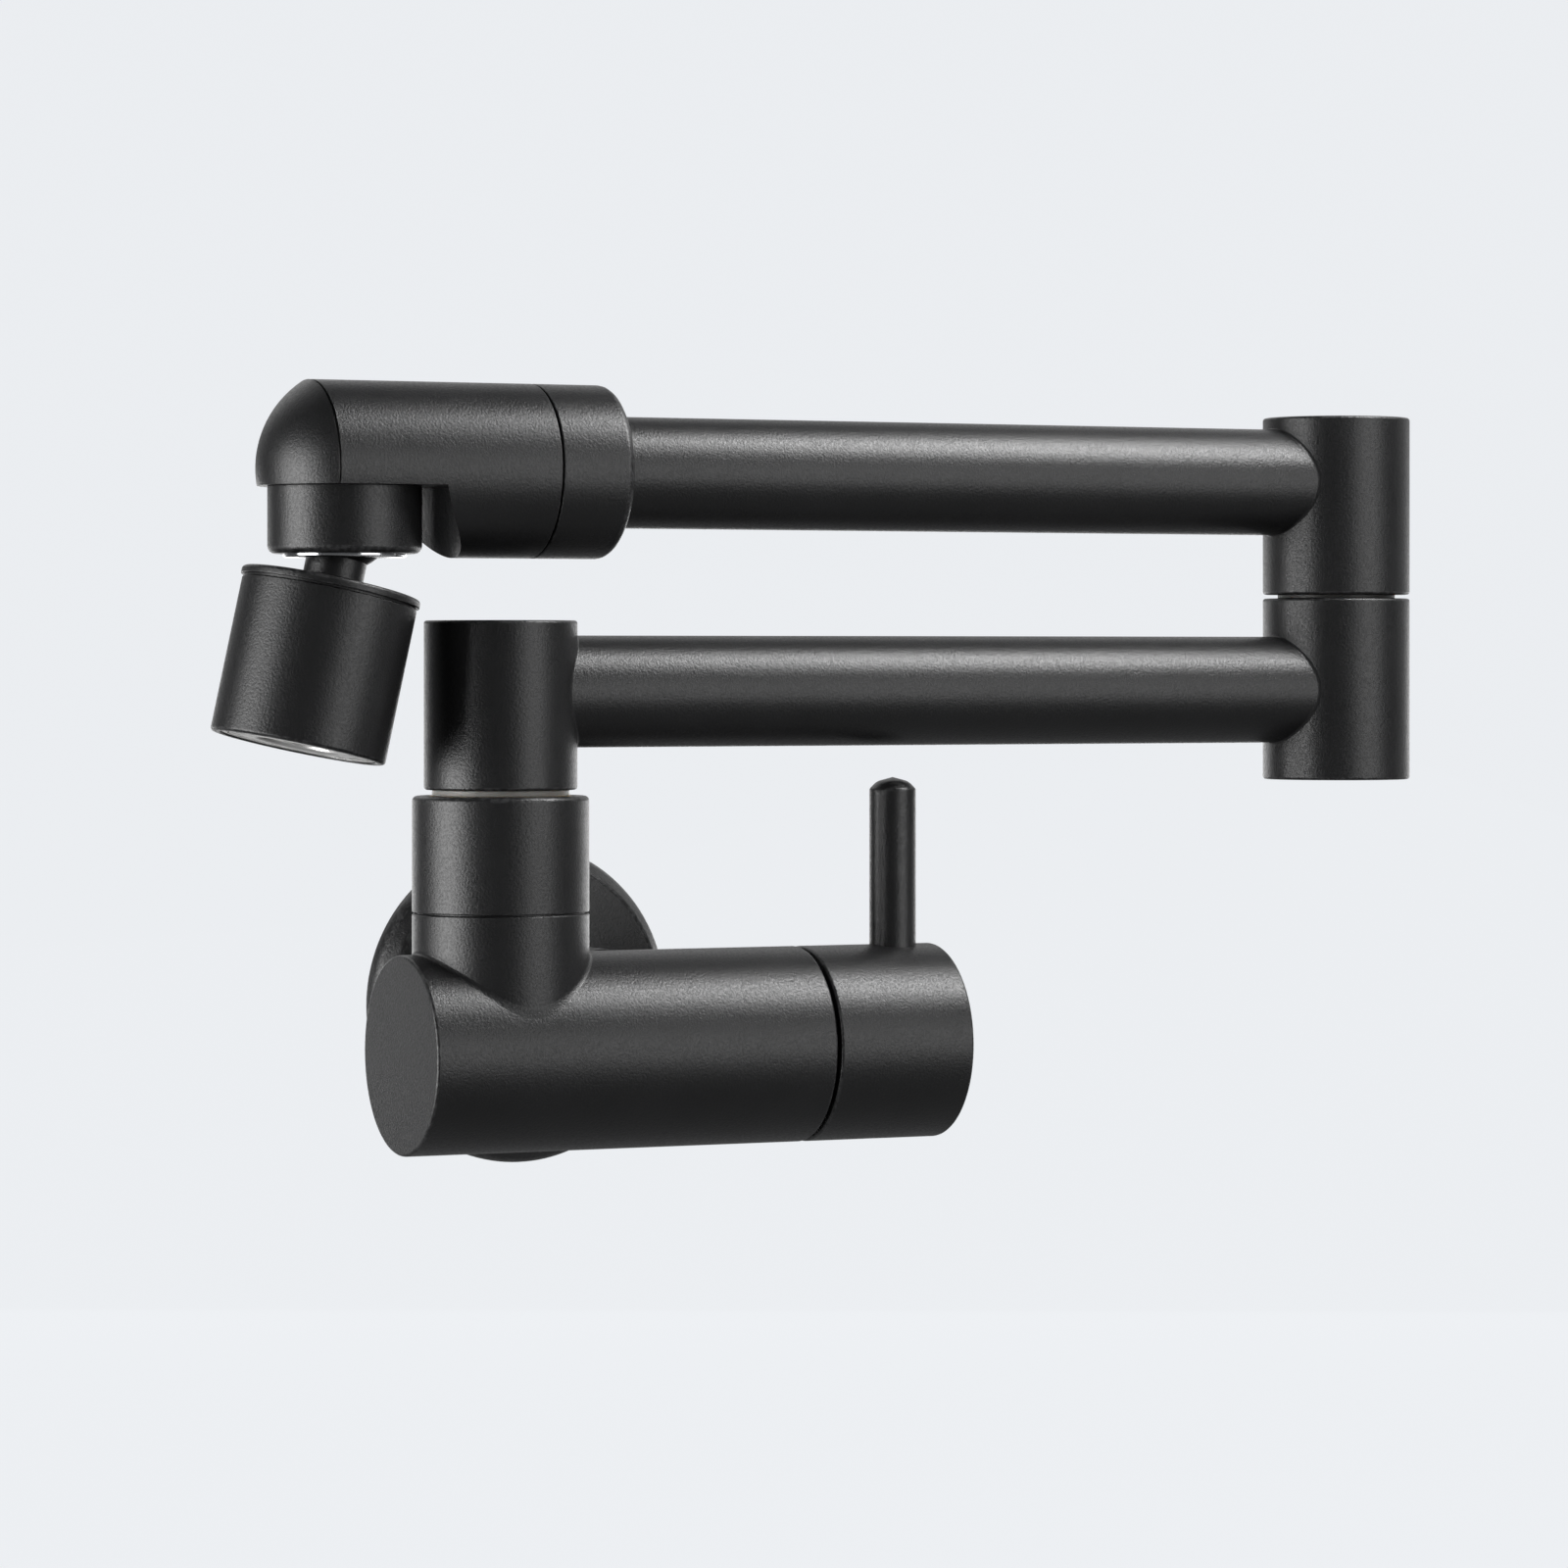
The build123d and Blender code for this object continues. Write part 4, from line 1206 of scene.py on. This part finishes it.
@dataclass
class Riser:
    """Straight sleeve on the boss, with a dark seam under it."""

    bore: float = 11.25 * MM
    flange_bore: float = 14.05 * MM
    flange_depth: float = 3.2 * MM
    foot_ease: float = 0.25 * MM
    foot_slot: float = 0.26 * MM
    foot_depth: float = 0.9 * MM
    top_ease: float = 1.0 * MM

    def build(self) -> None:
        """Turns the sleeve."""
        low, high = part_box("riser_collar")
        radius = (high.x - low.x) / 2.0
        corners = stepped(
            Land(self.bore, low.z),
            Land(radius - self.foot_depth, low.z + self.foot_slot),
            Land(radius, high.z, self.foot_ease, self.top_ease),
            Land(self.flange_bore, high.z - self.flange_depth),
        )
        place_ring("riser_sleeve", AXES.riser, corners, Body.BASE, COAT, "riser_collar")


@dataclass
class GlideRing:
    """One of the flat rings between turning pieces.

    Attributes:
        name: Name of the piece.
        node: Solid that it stands for.
        spindle: The axis.
        body: Body that it rides on.
        finish: Its finish.
        bore: Radius of its bore.
        relief: Play that is left above and below it.
    """

    name: str
    node: str
    spindle: Spindle
    body: Body
    finish: Finish
    bore: float = 9.0 * MM
    relief: float = 0.02 * MM

    def build(self) -> None:
        """Turns the ring."""
        low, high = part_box(self.node)
        radius = (high.x - low.x) / 2.0
        corners = stepped(
            Land(self.bore, low.z + self.relief),
            Land(radius, high.z - self.relief, FINE_EASE, FINE_EASE),
        )
        place_ring(self.name, self.spindle, corners, self.body, self.finish, self.node)


@dataclass
class ArmJoint:
    """One upright casting at the end of an arm.

    Attributes:
        name: Name of the piece.
        node: Solid that it stands for.
        spindle: Its upright axis.
        body: Body that it rides on.
        screw: Solid of the retaining screw in its back, if it turns on a spigot.
        top_wall: Thickness above the bore of a casting that turns on a spigot.
    """

    name: str
    node: str
    spindle: Spindle
    body: Body
    screw: str | None = None
    ease: float = 0.6 * MM
    bore: float = 9.0 * MM
    top_wall: float = 5.0 * MM
    screw_hole: float = 2.05 * MM

    def build(self) -> None:
        """Turns the casting, and bores and drills it where it turns on a spigot."""
        low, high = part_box(self.node)
        radius = (high.y - low.y) / 2.0
        outside = Land(radius, high.z, self.ease, self.ease)
        if self.screw is None:
            casting = turned(self.spindle, stepped(Land(0.0, low.z), outside))
        else:
            inside = (Land(0.0, high.z - self.top_wall), Land(self.bore, low.z))
            bored = turned(self.spindle, stepped(*inside, outside))
            hole = pin(Spindle(middle(self.screw), BACK), self.screw_hole, -self.bore, radius)
            casting = combined(bored, [hole], Operation.CUT)
        place(self.name, casting, self.body, COAT, self.node)


@dataclass
class ArmTube:
    """One arm tube, coped and brazed to the upright castings that it meets.

    Attributes:
        name: Name of the piece.
        node: Solid that it stands for.
        spindle: Its axis.
        body: Body that it rides on.
        right_post: Solid of the casting that it meets on its right.
        left_post: Solid of the casting that it meets on its left, if any.
    """

    name: str
    node: str
    spindle: Spindle
    body: Body
    right_post: str
    left_post: str | None = None
    radius: float = 11.0 * MM
    wall: float = 1.6 * MM
    fillet: float = 0.5 * MM
    fillet_steps: int = 4
    sink: float = 0.03 * MM

    def build(self) -> None:
        """Draws the tube's outside from left to right and its bore back again."""
        right = self.cope(self.right_post, End.RIGHT)
        if self.left_post is None:
            start = square(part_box(self.node)[0].x)
            left_end = [Ring(self.radius, start)]
        else:
            left = self.cope(self.left_post, End.LEFT)
            start = left(0.0)
            left_end = self.brazed(left)
        bore = self.radius - self.wall
        rings = [*left_end, *reversed(self.brazed(right)), Ring(bore, right(0.0)), Ring(bore, start)]
        place(self.name, drawn(self.spindle, rings, Section.RING), self.body, COAT, self.node)

    def brazed(self, foot: Foot) -> list[Ring]:
        """Lays the stations of a brazed end, from the casting to the plain tube."""
        return fillet_rings(self.radius, self.fillet, self.fillet_steps, self.sink, foot)

    def cope(self, post: str, end: End) -> Foot:
        """Copes one end to a casting.

        Args:
            post: Solid of the casting.
            end: Which end of the tube meets it.

        Returns:
            A function that gives the line at a distance inwards from the casting.
        """
        low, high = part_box(post)
        radius = (high.y - low.y) / 2.0
        centre = low.x + radius if end is End.LEFT else high.x - radius
        way = end.value
        return lambda inward: lambda across: centre + way * math.sqrt(radius**2 - across.x**2) + way * inward


@dataclass
class SpoutHead:
    """Domed head at the end of the upper arm, its collar and the socket under it."""

    radius: float = 17.1 * MM
    front: float = 7.7 * MM
    dome: float = 9.3 * MM
    dome_steps: int = 16
    seam: float = 0.25 * MM
    seam_slot: float = 0.40 * MM
    seam_depth: float = 1.2 * MM
    crease_width: float = 0.50 * MM
    crease_depth: float = 0.40 * MM
    crease_ease: float = 0.1 * MM
    cut_ease: float = 0.35 * MM
    cut_steps: int = 3
    collar_ease: float = 1.8 * MM
    tube_bore: float = 11.05 * MM
    spot_face: float = 22.3 * MM
    spot_depth: float = 40.0 * MM
    wall_reach: float = 0.02 * MM
    flat_reach: float = 0.01 * MM
    socket: float = 14.9 * MM
    socket_ease: float = 1.5 * MM
    socket_height: float = 13.1 * MM
    socket_bore: float = 8.6 * MM
    socket_spigot: float = 10.5 * MM
    cavity: float = 12.0 * MM
    roof: float = 1.95 * MM
    bowl: float = 9.55 * MM
    bowl_steps: int = 10
    keeper_play: float = 0.05 * MM
    keeper_lip: float = 8.6 * MM
    keeper_flare: float = 0.8 * MM
    keeper_chamfer: float = 0.4 * MM

    def build(self) -> None:
        """Builds the head, its collar, the socket and the bright keeper ring."""
        self.build_head()
        self.build_collar()
        self.build_socket()
        self.build_keeper()

    def build_head(self) -> None:
        """Turns the domed head and mills the round flat under it."""
        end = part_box("spout_head")[1].x
        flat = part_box("aerator_socket")[0].z + self.socket_height
        sphere = (self.radius**2 + self.dome**2) / (2.0 * self.dome)
        edge = AXES.socket.origin.x - self.front
        pole = -math.pi / 2.0
        half = math.asin(self.radius / sphere)
        slot = end - self.seam_slot
        crease = self.radius - self.crease_depth
        corners = [
            *arc(edge - self.dome + sphere, sphere, pole, pole + half, self.dome_steps),
            Corner(crease, edge),
            Corner(crease, edge + self.crease_width),
            Corner(self.radius, edge + self.crease_width, self.crease_ease),
            Corner(self.radius, slot, self.seam),
            Corner(self.radius - self.seam_depth, slot),
            Corner(self.radius - self.seam_depth, end),
            Corner(0.0, end),
        ]
        cutter = pin(AXES.socket, self.spot_face, flat - self.spot_depth, flat, SPIN_STEPS)
        milled = combined(turned(AXES.upper_tube, corners), [cutter], Operation.CUT)
        self.soften(milled, flat)
        place("domed_head", milled, Body.UPPER_ARM, COAT, "spout_head")

    def soften(self, work: BMesh, flat: float) -> None:
        """Rounds the edges that the cutter left, and marks them for wear.

        Args:
            work: The milled head, which is changed.
            flat: Height of the milled flat.
        """
        edges = []
        for edge in work.edges:
            if not edge.is_manifold or edge.calc_face_angle() < SHARP_ANGLE:
                continue
            ends = [vert.co - AXES.socket.origin for vert in edge.verts]
            on_wall = all(abs(end.xy.length - self.spot_face) < self.wall_reach for end in ends)
            on_flat = all(abs(end.z - flat) < self.flat_reach for end in ends)
            if on_wall != on_flat:
                edges.append(edge)
        eased = bmesh.ops.bevel(
            work,
            geom=edges,
            offset=self.cut_ease,
            offset_type="OFFSET",
            segments=self.cut_steps,
            profile=0.5,
            affect="EDGES",
            clamp_overlap=True,
            material=-1,
        )
        wear = work.faces.layers.float[WEAR_AND_SHEEN]
        for face in eased["faces"]:
            face[wear] = 1.0

    def build_collar(self) -> None:
        """Turns the collar between the tube and the head."""
        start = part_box("spout_head")[1].x
        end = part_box("head_collar")[1].x
        corners = stepped(Land(self.tube_bore, start), Land(self.radius, end, self.seam, self.collar_ease))
        place_ring("tube_collar", AXES.upper_tube, corners, Body.UPPER_ARM, COAT, "head_collar")

    def build_socket(self) -> None:
        """Turns the socket that holds the ball."""
        low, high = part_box("aerator_socket")
        flat = low.z + self.socket_height
        corners = stepped(
            Land(self.socket_bore, high.z),
            Land(self.socket_spigot, flat),
            Land(self.socket, low.z, EDGE_EASE, self.socket_ease),
            Land(self.cavity, flat - self.roof, FINE_EASE),
        )
        place_ring("ball_socket", AXES.socket, corners, Body.UPPER_ARM, COAT, "aerator_socket")

    def build_keeper(self) -> None:
        """Turns the bright ring that keeps the ball in."""
        low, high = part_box("ball_retainer")
        ball = AXES.spray.origin.z
        outer = self.cavity - self.keeper_play
        lip = -math.acos(self.keeper_lip / self.bowl)
        rim = math.asin((high.z - ball) / self.bowl)
        corners = [
            *arc(ball, self.bowl, lip, rim, self.bowl_steps),
            Corner(outer, high.z),
            Corner(outer, low.z, self.keeper_chamfer),
            Corner(self.keeper_lip + self.keeper_flare, low.z, FINE_EASE),
        ]
        plate = BrightPlate("keeper_plate", spindle=AXES.socket, pitch=0.25 * MM, rough=0.10)
        place_ring("ball_keeper", AXES.socket, corners, Body.UPPER_ARM, plate, "ball_retainer")


@dataclass
class SprayHead:
    """Ball, cap, shell and jet plate of the spray, with depths from the middle of the ball."""

    ball: float = 9.5 * MM
    ball_steps: int = 36
    crown: float = 6.0 * MM
    waterway: float = 3.5 * MM
    neck: float = 5.9 * MM
    foot: float = 6.6 * MM
    foot_height: float = 0.9 * MM
    stem: float = 5.0 * MM
    stem_end: float = 20.0 * MM
    start: float = 12.3 * MM
    cap: float = 17.5 * MM
    cap_ease: float = 0.7 * MM
    cap_end: float = 13.9 * MM
    groove: float = 16.7 * MM
    shoulder: float = 14.3 * MM
    skirt: float = 15.2 * MM
    skirt_wall: float = 2.8 * MM
    skirt_end: float = 21.7 * MM
    cap_floor: float = 16.1 * MM
    cap_bore: float = 5.05 * MM
    cap_boss: float = 8.65 * MM
    shell: float = 17.1 * MM
    shell_bore: float = 15.25 * MM
    shell_start: float = 14.4 * MM
    shell_end: float = 44.7 * MM
    shell_ease: float = 0.7 * MM
    mouth_ease: float = 0.25 * MM
    snap_place: float = 18.5 * MM
    snap_groove: float = 0.9 * MM
    snap_width: float = 1.2 * MM
    ledge: float = 14.05 * MM
    ledge_start: float = 39.3 * MM
    plate: float = 15.2 * MM
    plate_start: float = 40.7 * MM
    plate_end: float = 44.4 * MM
    plate_bore: float = 8.6 * MM
    plate_lip: float = 1.0 * MM
    lip_height: float = 1.2 * MM
    lip_ease: float = 0.9 * MM
    line_radius: float = 13.7 * MM
    line_width: float = 0.5 * MM
    line_depth: float = 0.25 * MM
    jet: float = 0.8 * MM
    jet_mouth: float = 1.15 * MM
    jet_sink: float = 0.3 * MM
    jet_circle: float = 11.9 * MM
    jets: int = 16

    def build(self) -> None:
        """Builds the four turned pieces of the spray."""
        self.build_ball()
        self.build_cap()
        self.build_shell()
        self.build_plate()

    def build_ball(self) -> None:
        """Turns the ball with its neck and foot."""
        bottom = -math.acos(self.neck / self.ball)
        top = math.asin(self.crown / self.ball)
        foot_top = -self.start + self.foot_height
        corners = [
            *arc(0.0, self.ball, bottom, top, self.ball_steps),
            Corner(self.waterway, self.crown),
            Corner(self.waterway, -self.stem_end),
            Corner(self.stem, -self.stem_end),
            Corner(self.stem, -self.start),
            Corner(self.foot, -self.start),
            Corner(self.foot, foot_top, SOFT_EASE),
            Corner(self.neck, foot_top, SOFT_EASE),
        ]
        place_ring("ball_and_neck", AXES.spray, corners, Body.BALL, COAT, "ball_stem")

    def build_cap(self) -> None:
        """Turns the cap that the shell hangs on."""
        corners = stepped(
            Land(self.cap_bore, -self.start),
            Land(self.cap, -self.cap_end, self.cap_ease, EDGE_EASE),
            Land(self.groove, -self.shoulder),
            Land(self.skirt, -self.skirt_end),
            Land(self.skirt - self.skirt_wall, -self.cap_floor),
            Land(self.cap_boss, -self.stem_end),
        )
        place_ring("spray_top", AXES.spray, corners, Body.BALL, COAT, "spray_cap")

    def build_shell(self) -> None:
        """Turns the shell, with the ledge for the plate and the groove for the spring ring."""
        half = self.snap_width / 2.0
        corners = stepped(
            Land(self.shell_bore, -self.shell_start),
            Land(self.shell, -self.shell_end, EDGE_EASE, self.shell_ease),
            Land(self.shell_bore, -self.plate_start, self.mouth_ease),
            Land(self.ledge, -self.ledge_start),
            Land(self.shell_bore, -self.snap_place - half),
            Land(self.shell_bore + self.snap_groove, -self.snap_place + half),
        )
        place_ring("spray_barrel", AXES.spray, corners, Body.SPRAY, COAT, "spray_shell")

    def build_plate(self) -> None:
        """Turns the bright plate and drills its countersunk jets."""
        half = self.line_width / 2.0
        corners = stepped(
            Land(self.plate_bore - self.plate_lip, -self.plate_end, end_ease=self.lip_ease),
            Land(self.line_radius - half, -self.plate_end + self.line_depth),
            Land(self.line_radius + half, -self.plate_end),
            Land(self.plate, -self.plate_start, SOFT_EASE),
            Land(self.plate_bore, -self.plate_end + self.lip_height),
        )
        disc = turned(AXES.spray, corners, Section.RING)
        finish = BrightPlate(
            "jet_plate", spindle=AXES.spray, pitch=0.35 * MM, tone=(0.90, 0.89, 0.87), rough=0.40
        )
        drilled = combined(disc, self.drills(), Operation.CUT)
        place("spray_face", drilled, Body.SPRAY, finish, "spray_plate")

    def drills(self) -> list[BMesh]:
        """Makes the cutters of the jets, each with a countersink that starts outside the plate.

        Returns:
            The closed cutters, in their places.
        """
        matrix = AXES.spray.matrix()
        outside = -self.plate_end - self.jet_sink
        top = -self.plate_start + CUT_MARGIN
        corners = [
            Corner(0.0, outside),
            Corner(2.0 * self.jet_mouth - self.jet, outside),
            Corner(self.jet, -self.plate_end + self.jet_sink),
            Corner(self.jet, top),
            Corner(0.0, top),
        ]
        cutters = []
        for number in range(self.jets):
            angle = math.tau * number / self.jets
            spot = Vector((math.cos(angle), math.sin(angle), 0.0)) * self.jet_circle
            cutters.append(turned(Spindle(matrix @ spot, AXES.spray.direction), corners, steps=JET_STEPS))
        return cutters


@dataclass
class InnerPieces:
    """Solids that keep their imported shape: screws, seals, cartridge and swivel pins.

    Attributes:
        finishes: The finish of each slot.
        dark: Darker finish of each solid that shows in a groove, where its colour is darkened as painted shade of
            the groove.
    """

    finishes: dict[Slot, Finish] = field(
        default_factory=lambda: {
            finish.slot: finish
            for finish in (COAT, BARE_BRASS, DISC, SEAL, GLIDE, SCREW, BrightPlate(), HONEYCOMB)
        }
    )
    dark: dict[str, Finish] = field(default_factory=lambda: {"cartridge_housing": GROOVE_SHADE_BRASS})

    def build(self) -> None:
        """Gives every solid that still shows its finish."""
        for row in frame["record"]["subparts"]:
            solid = frame["nodes"][row["node"]]
            if solid.hide_render:
                continue
            # Solids seen in a groove take a darker finish as painted shade.
            finish = self.dark.get(row["node"], self.finishes[Slot(row["material_slot"])])
            solid.data.materials.clear()
            solid.data.materials.append(finish.material())
            LOG.info("%s: packed solid in %s", row["node"], finish.name)


# Studio


@dataclass(frozen=True)
class Softbox:
    """One soft light that faces the tap.

    Attributes:
        name: Name of the light.
        azimuth: Degrees round from the camera, to the right.
        elevation: Degrees above the tap.
        distance: Distance from the tap.
        width: Width of its face.
        height: Height of its face.
        power: Watts.
    """

    name: str
    azimuth: float
    elevation: float
    distance: float
    width: float
    height: float
    power: float

    def hang(self, target: Vector, towards_camera: float) -> None:
        """Hangs the light.

        Args:
            target: Point that it faces.
            towards_camera: Angle from +X of the level direction to the camera, in radians.
        """
        lamp = bpy.data.lights.new(self.name, "AREA")
        lamp.shape = "RECTANGLE"
        lamp.size = self.width
        lamp.size_y = self.height
        lamp.energy = self.power
        turn = towards_camera + math.radians(self.azimuth)
        rise = math.radians(self.elevation)
        way = Vector((math.cos(turn) * math.cos(rise), math.sin(turn) * math.cos(rise), math.sin(rise)))
        box = bpy.data.objects.new(self.name, lamp)
        box.location = target + way * self.distance
        box.rotation_euler = way.to_track_quat("Z", "Y").to_euler()
        box.visible_camera = False
        bpy.context.scene.collection.objects.link(box)


@dataclass
class Studio:
    """Pale floor that sweeps up into a backdrop, soft lights and the camera."""

    target: Vector = field(default_factory=lambda: Vector((0.05, -0.06, 0.055)))
    camera_place: Vector = field(default_factory=lambda: Vector((-0.4592, -1.1005, 0.0710)))
    camera_turn: float = math.radians(-25.32)
    focal_length: float = 132.3
    sensor: float = 36.0
    shift: float = -0.0801
    nearest: float = 0.01
    floor_height: float = -0.16
    floor_radius: float = 2.6
    sweep: float = 1.4
    wall_height: float = 3.2
    tone: Colour = (0.825, 0.845, 0.872)
    glow: float = 1.0
    reflected: float = 0.03
    fibre: Pattern = Pattern(3.0 * MM, 3.0)
    paper_roughness: Span = (0.85, 0.95)
    room_tone: Colour = (0.92, 0.95, 1.0)
    room_light: float = 0.08
    softboxes: tuple[Softbox, ...] = (
        Softbox("key_box", 79.0, 54.0, 0.52, 0.18, 0.28, 2.8),
        Softbox("key_side", 104.0, 51.0, 0.60, 0.30, 0.36, 0.8),
        Softbox("left_box", -68.0, -4.0, 1.2, 0.85, 0.90, 17.0),
        Softbox("right_box", 51.0, 4.0, 1.3, 0.90, 0.90, 5.8),
        Softbox("left_wall", -152.0, 4.0, 1.6, 1.6, 1.4, 1.6),
        Softbox("right_wall", 142.0, 5.0, 1.6, 2.0, 1.4, 3.4),
        Softbox("back_wall", 180.0, 30.0, 1.6, 2.4, 0.9, 3.9),
        Softbox("low_back", 180.0, -5.0, 0.9, 1.6, 0.26, 2.5),
        Softbox("floor_glow", 0.0, -90.0, 0.21, 3.2, 3.2, 5.0),
        Softbox("left_top", -140.0, 42.0, 1.6, 1.2, 0.9, 1.6),
        Softbox("front_fill", 0.0, 18.0, 2.2, 2.2, 0.9, 0.6),
    )

    def build(self) -> None:
        """Builds the backdrop, the lights and the camera."""
        self.build_backdrop()
        self.build_world()
        towards = self.camera_place - self.target
        for softbox in self.softboxes:
            softbox.hang(self.target, math.atan2(towards.y, towards.x))
        self.build_camera()

    def build_backdrop(self) -> None:
        """Turns one seamless sheet for the floor and the backdrop."""
        corners = [
            Corner(0.0, self.floor_height),
            Corner(self.floor_radius, self.floor_height, self.sweep),
            Corner(self.floor_radius, self.wall_height),
        ]
        sheet = link("pale_floor", turned(upright(self.target), corners, Section.SHEET, SLIM_STEPS))
        sheet.data.shade_smooth()
        sheet.data.materials.append(self.paper())
        sheet.visible_glossy = False
        sheet.visible_diffuse = False

    def paper(self) -> Material:
        """Makes the pale paper of the backdrop, lit mostly by its own glow.

        Returns:
            The material.
        """
        shader = Shader("pale_paper")
        shader.dress(
            Base_Color=tuple(self.reflected * part for part in self.tone),
            Roughness=shader.span(shader.noise(self.fibre), self.paper_roughness),
            Specular_IOR_Level=0.0,
            Emission_Color=self.tone,
            Emission_Strength=self.glow,
        )
        return shader.material

    def build_world(self) -> None:
        """Sets a dim even light all round."""
        scene = bpy.context.scene
        world = bpy.data.worlds.new("dim_room")
        world.use_nodes = True
        room = world.node_tree.nodes["Background"]
        room.inputs["Color"].default_value = (*self.room_tone, 1.0)
        room.inputs["Strength"].default_value = self.room_light
        scene.world = world
        scene.view_settings.view_transform = "Standard"

    def build_camera(self) -> None:
        """Stands the camera at the photograph's viewpoint."""
        lens = bpy.data.cameras.new("camera")
        lens.lens = self.focal_length
        lens.sensor_width = self.sensor
        lens.shift_y = self.shift
        lens.clip_start = self.nearest
        camera = bpy.data.objects.new("camera", lens)
        camera.location = self.camera_place
        camera.rotation_euler = (math.pi / 2.0, 0.0, self.camera_turn)
        bpy.context.scene.collection.objects.link(camera)
        bpy.context.scene.camera = camera


def main() -> None:
    """Builds the sub-assemblies in order, from the wall to the spray, and then the studio."""
    logging.basicConfig(level=logging.INFO, format="%(message)s")
    lower = Body.LOWER_ARM
    upper = Body.UPPER_ARM
    assemblies = (
        WallMount(),
        ValveBody(),
        Handle(),
        Riser(),
        GlideRing("riser_glide_ring", "riser_glide_washer", AXES.riser, Body.BASE, GLIDE),
        ArmJoint("first_arm_hub", "lower_arm_hub", AXES.riser, lower, "lower_arm_screw"),
        ArmTube("first_arm_tube", "lower_arm_tube", AXES.lower_tube, lower, "lower_knuckle", "lower_arm_hub"),
        ArmJoint("first_arm_knuckle", "lower_knuckle", AXES.knuckle, lower),
        ArmJoint("second_arm_knuckle", "upper_knuckle", AXES.knuckle, upper, "upper_arm_screw"),
        ArmTube("second_arm_tube", "upper_arm_tube", AXES.upper_tube, upper, "upper_knuckle"),
        SpoutHead(),
        SprayHead(),
        GlideRing("knuckle_glide_ring", "knuckle_glide_washer", AXES.knuckle, lower, GAP_SHADE_GLIDE),
        InnerPieces(),
        Studio(),
    )
    for assembly in assemblies:
        assembly.build()


if __name__ == "__main__":
    main()
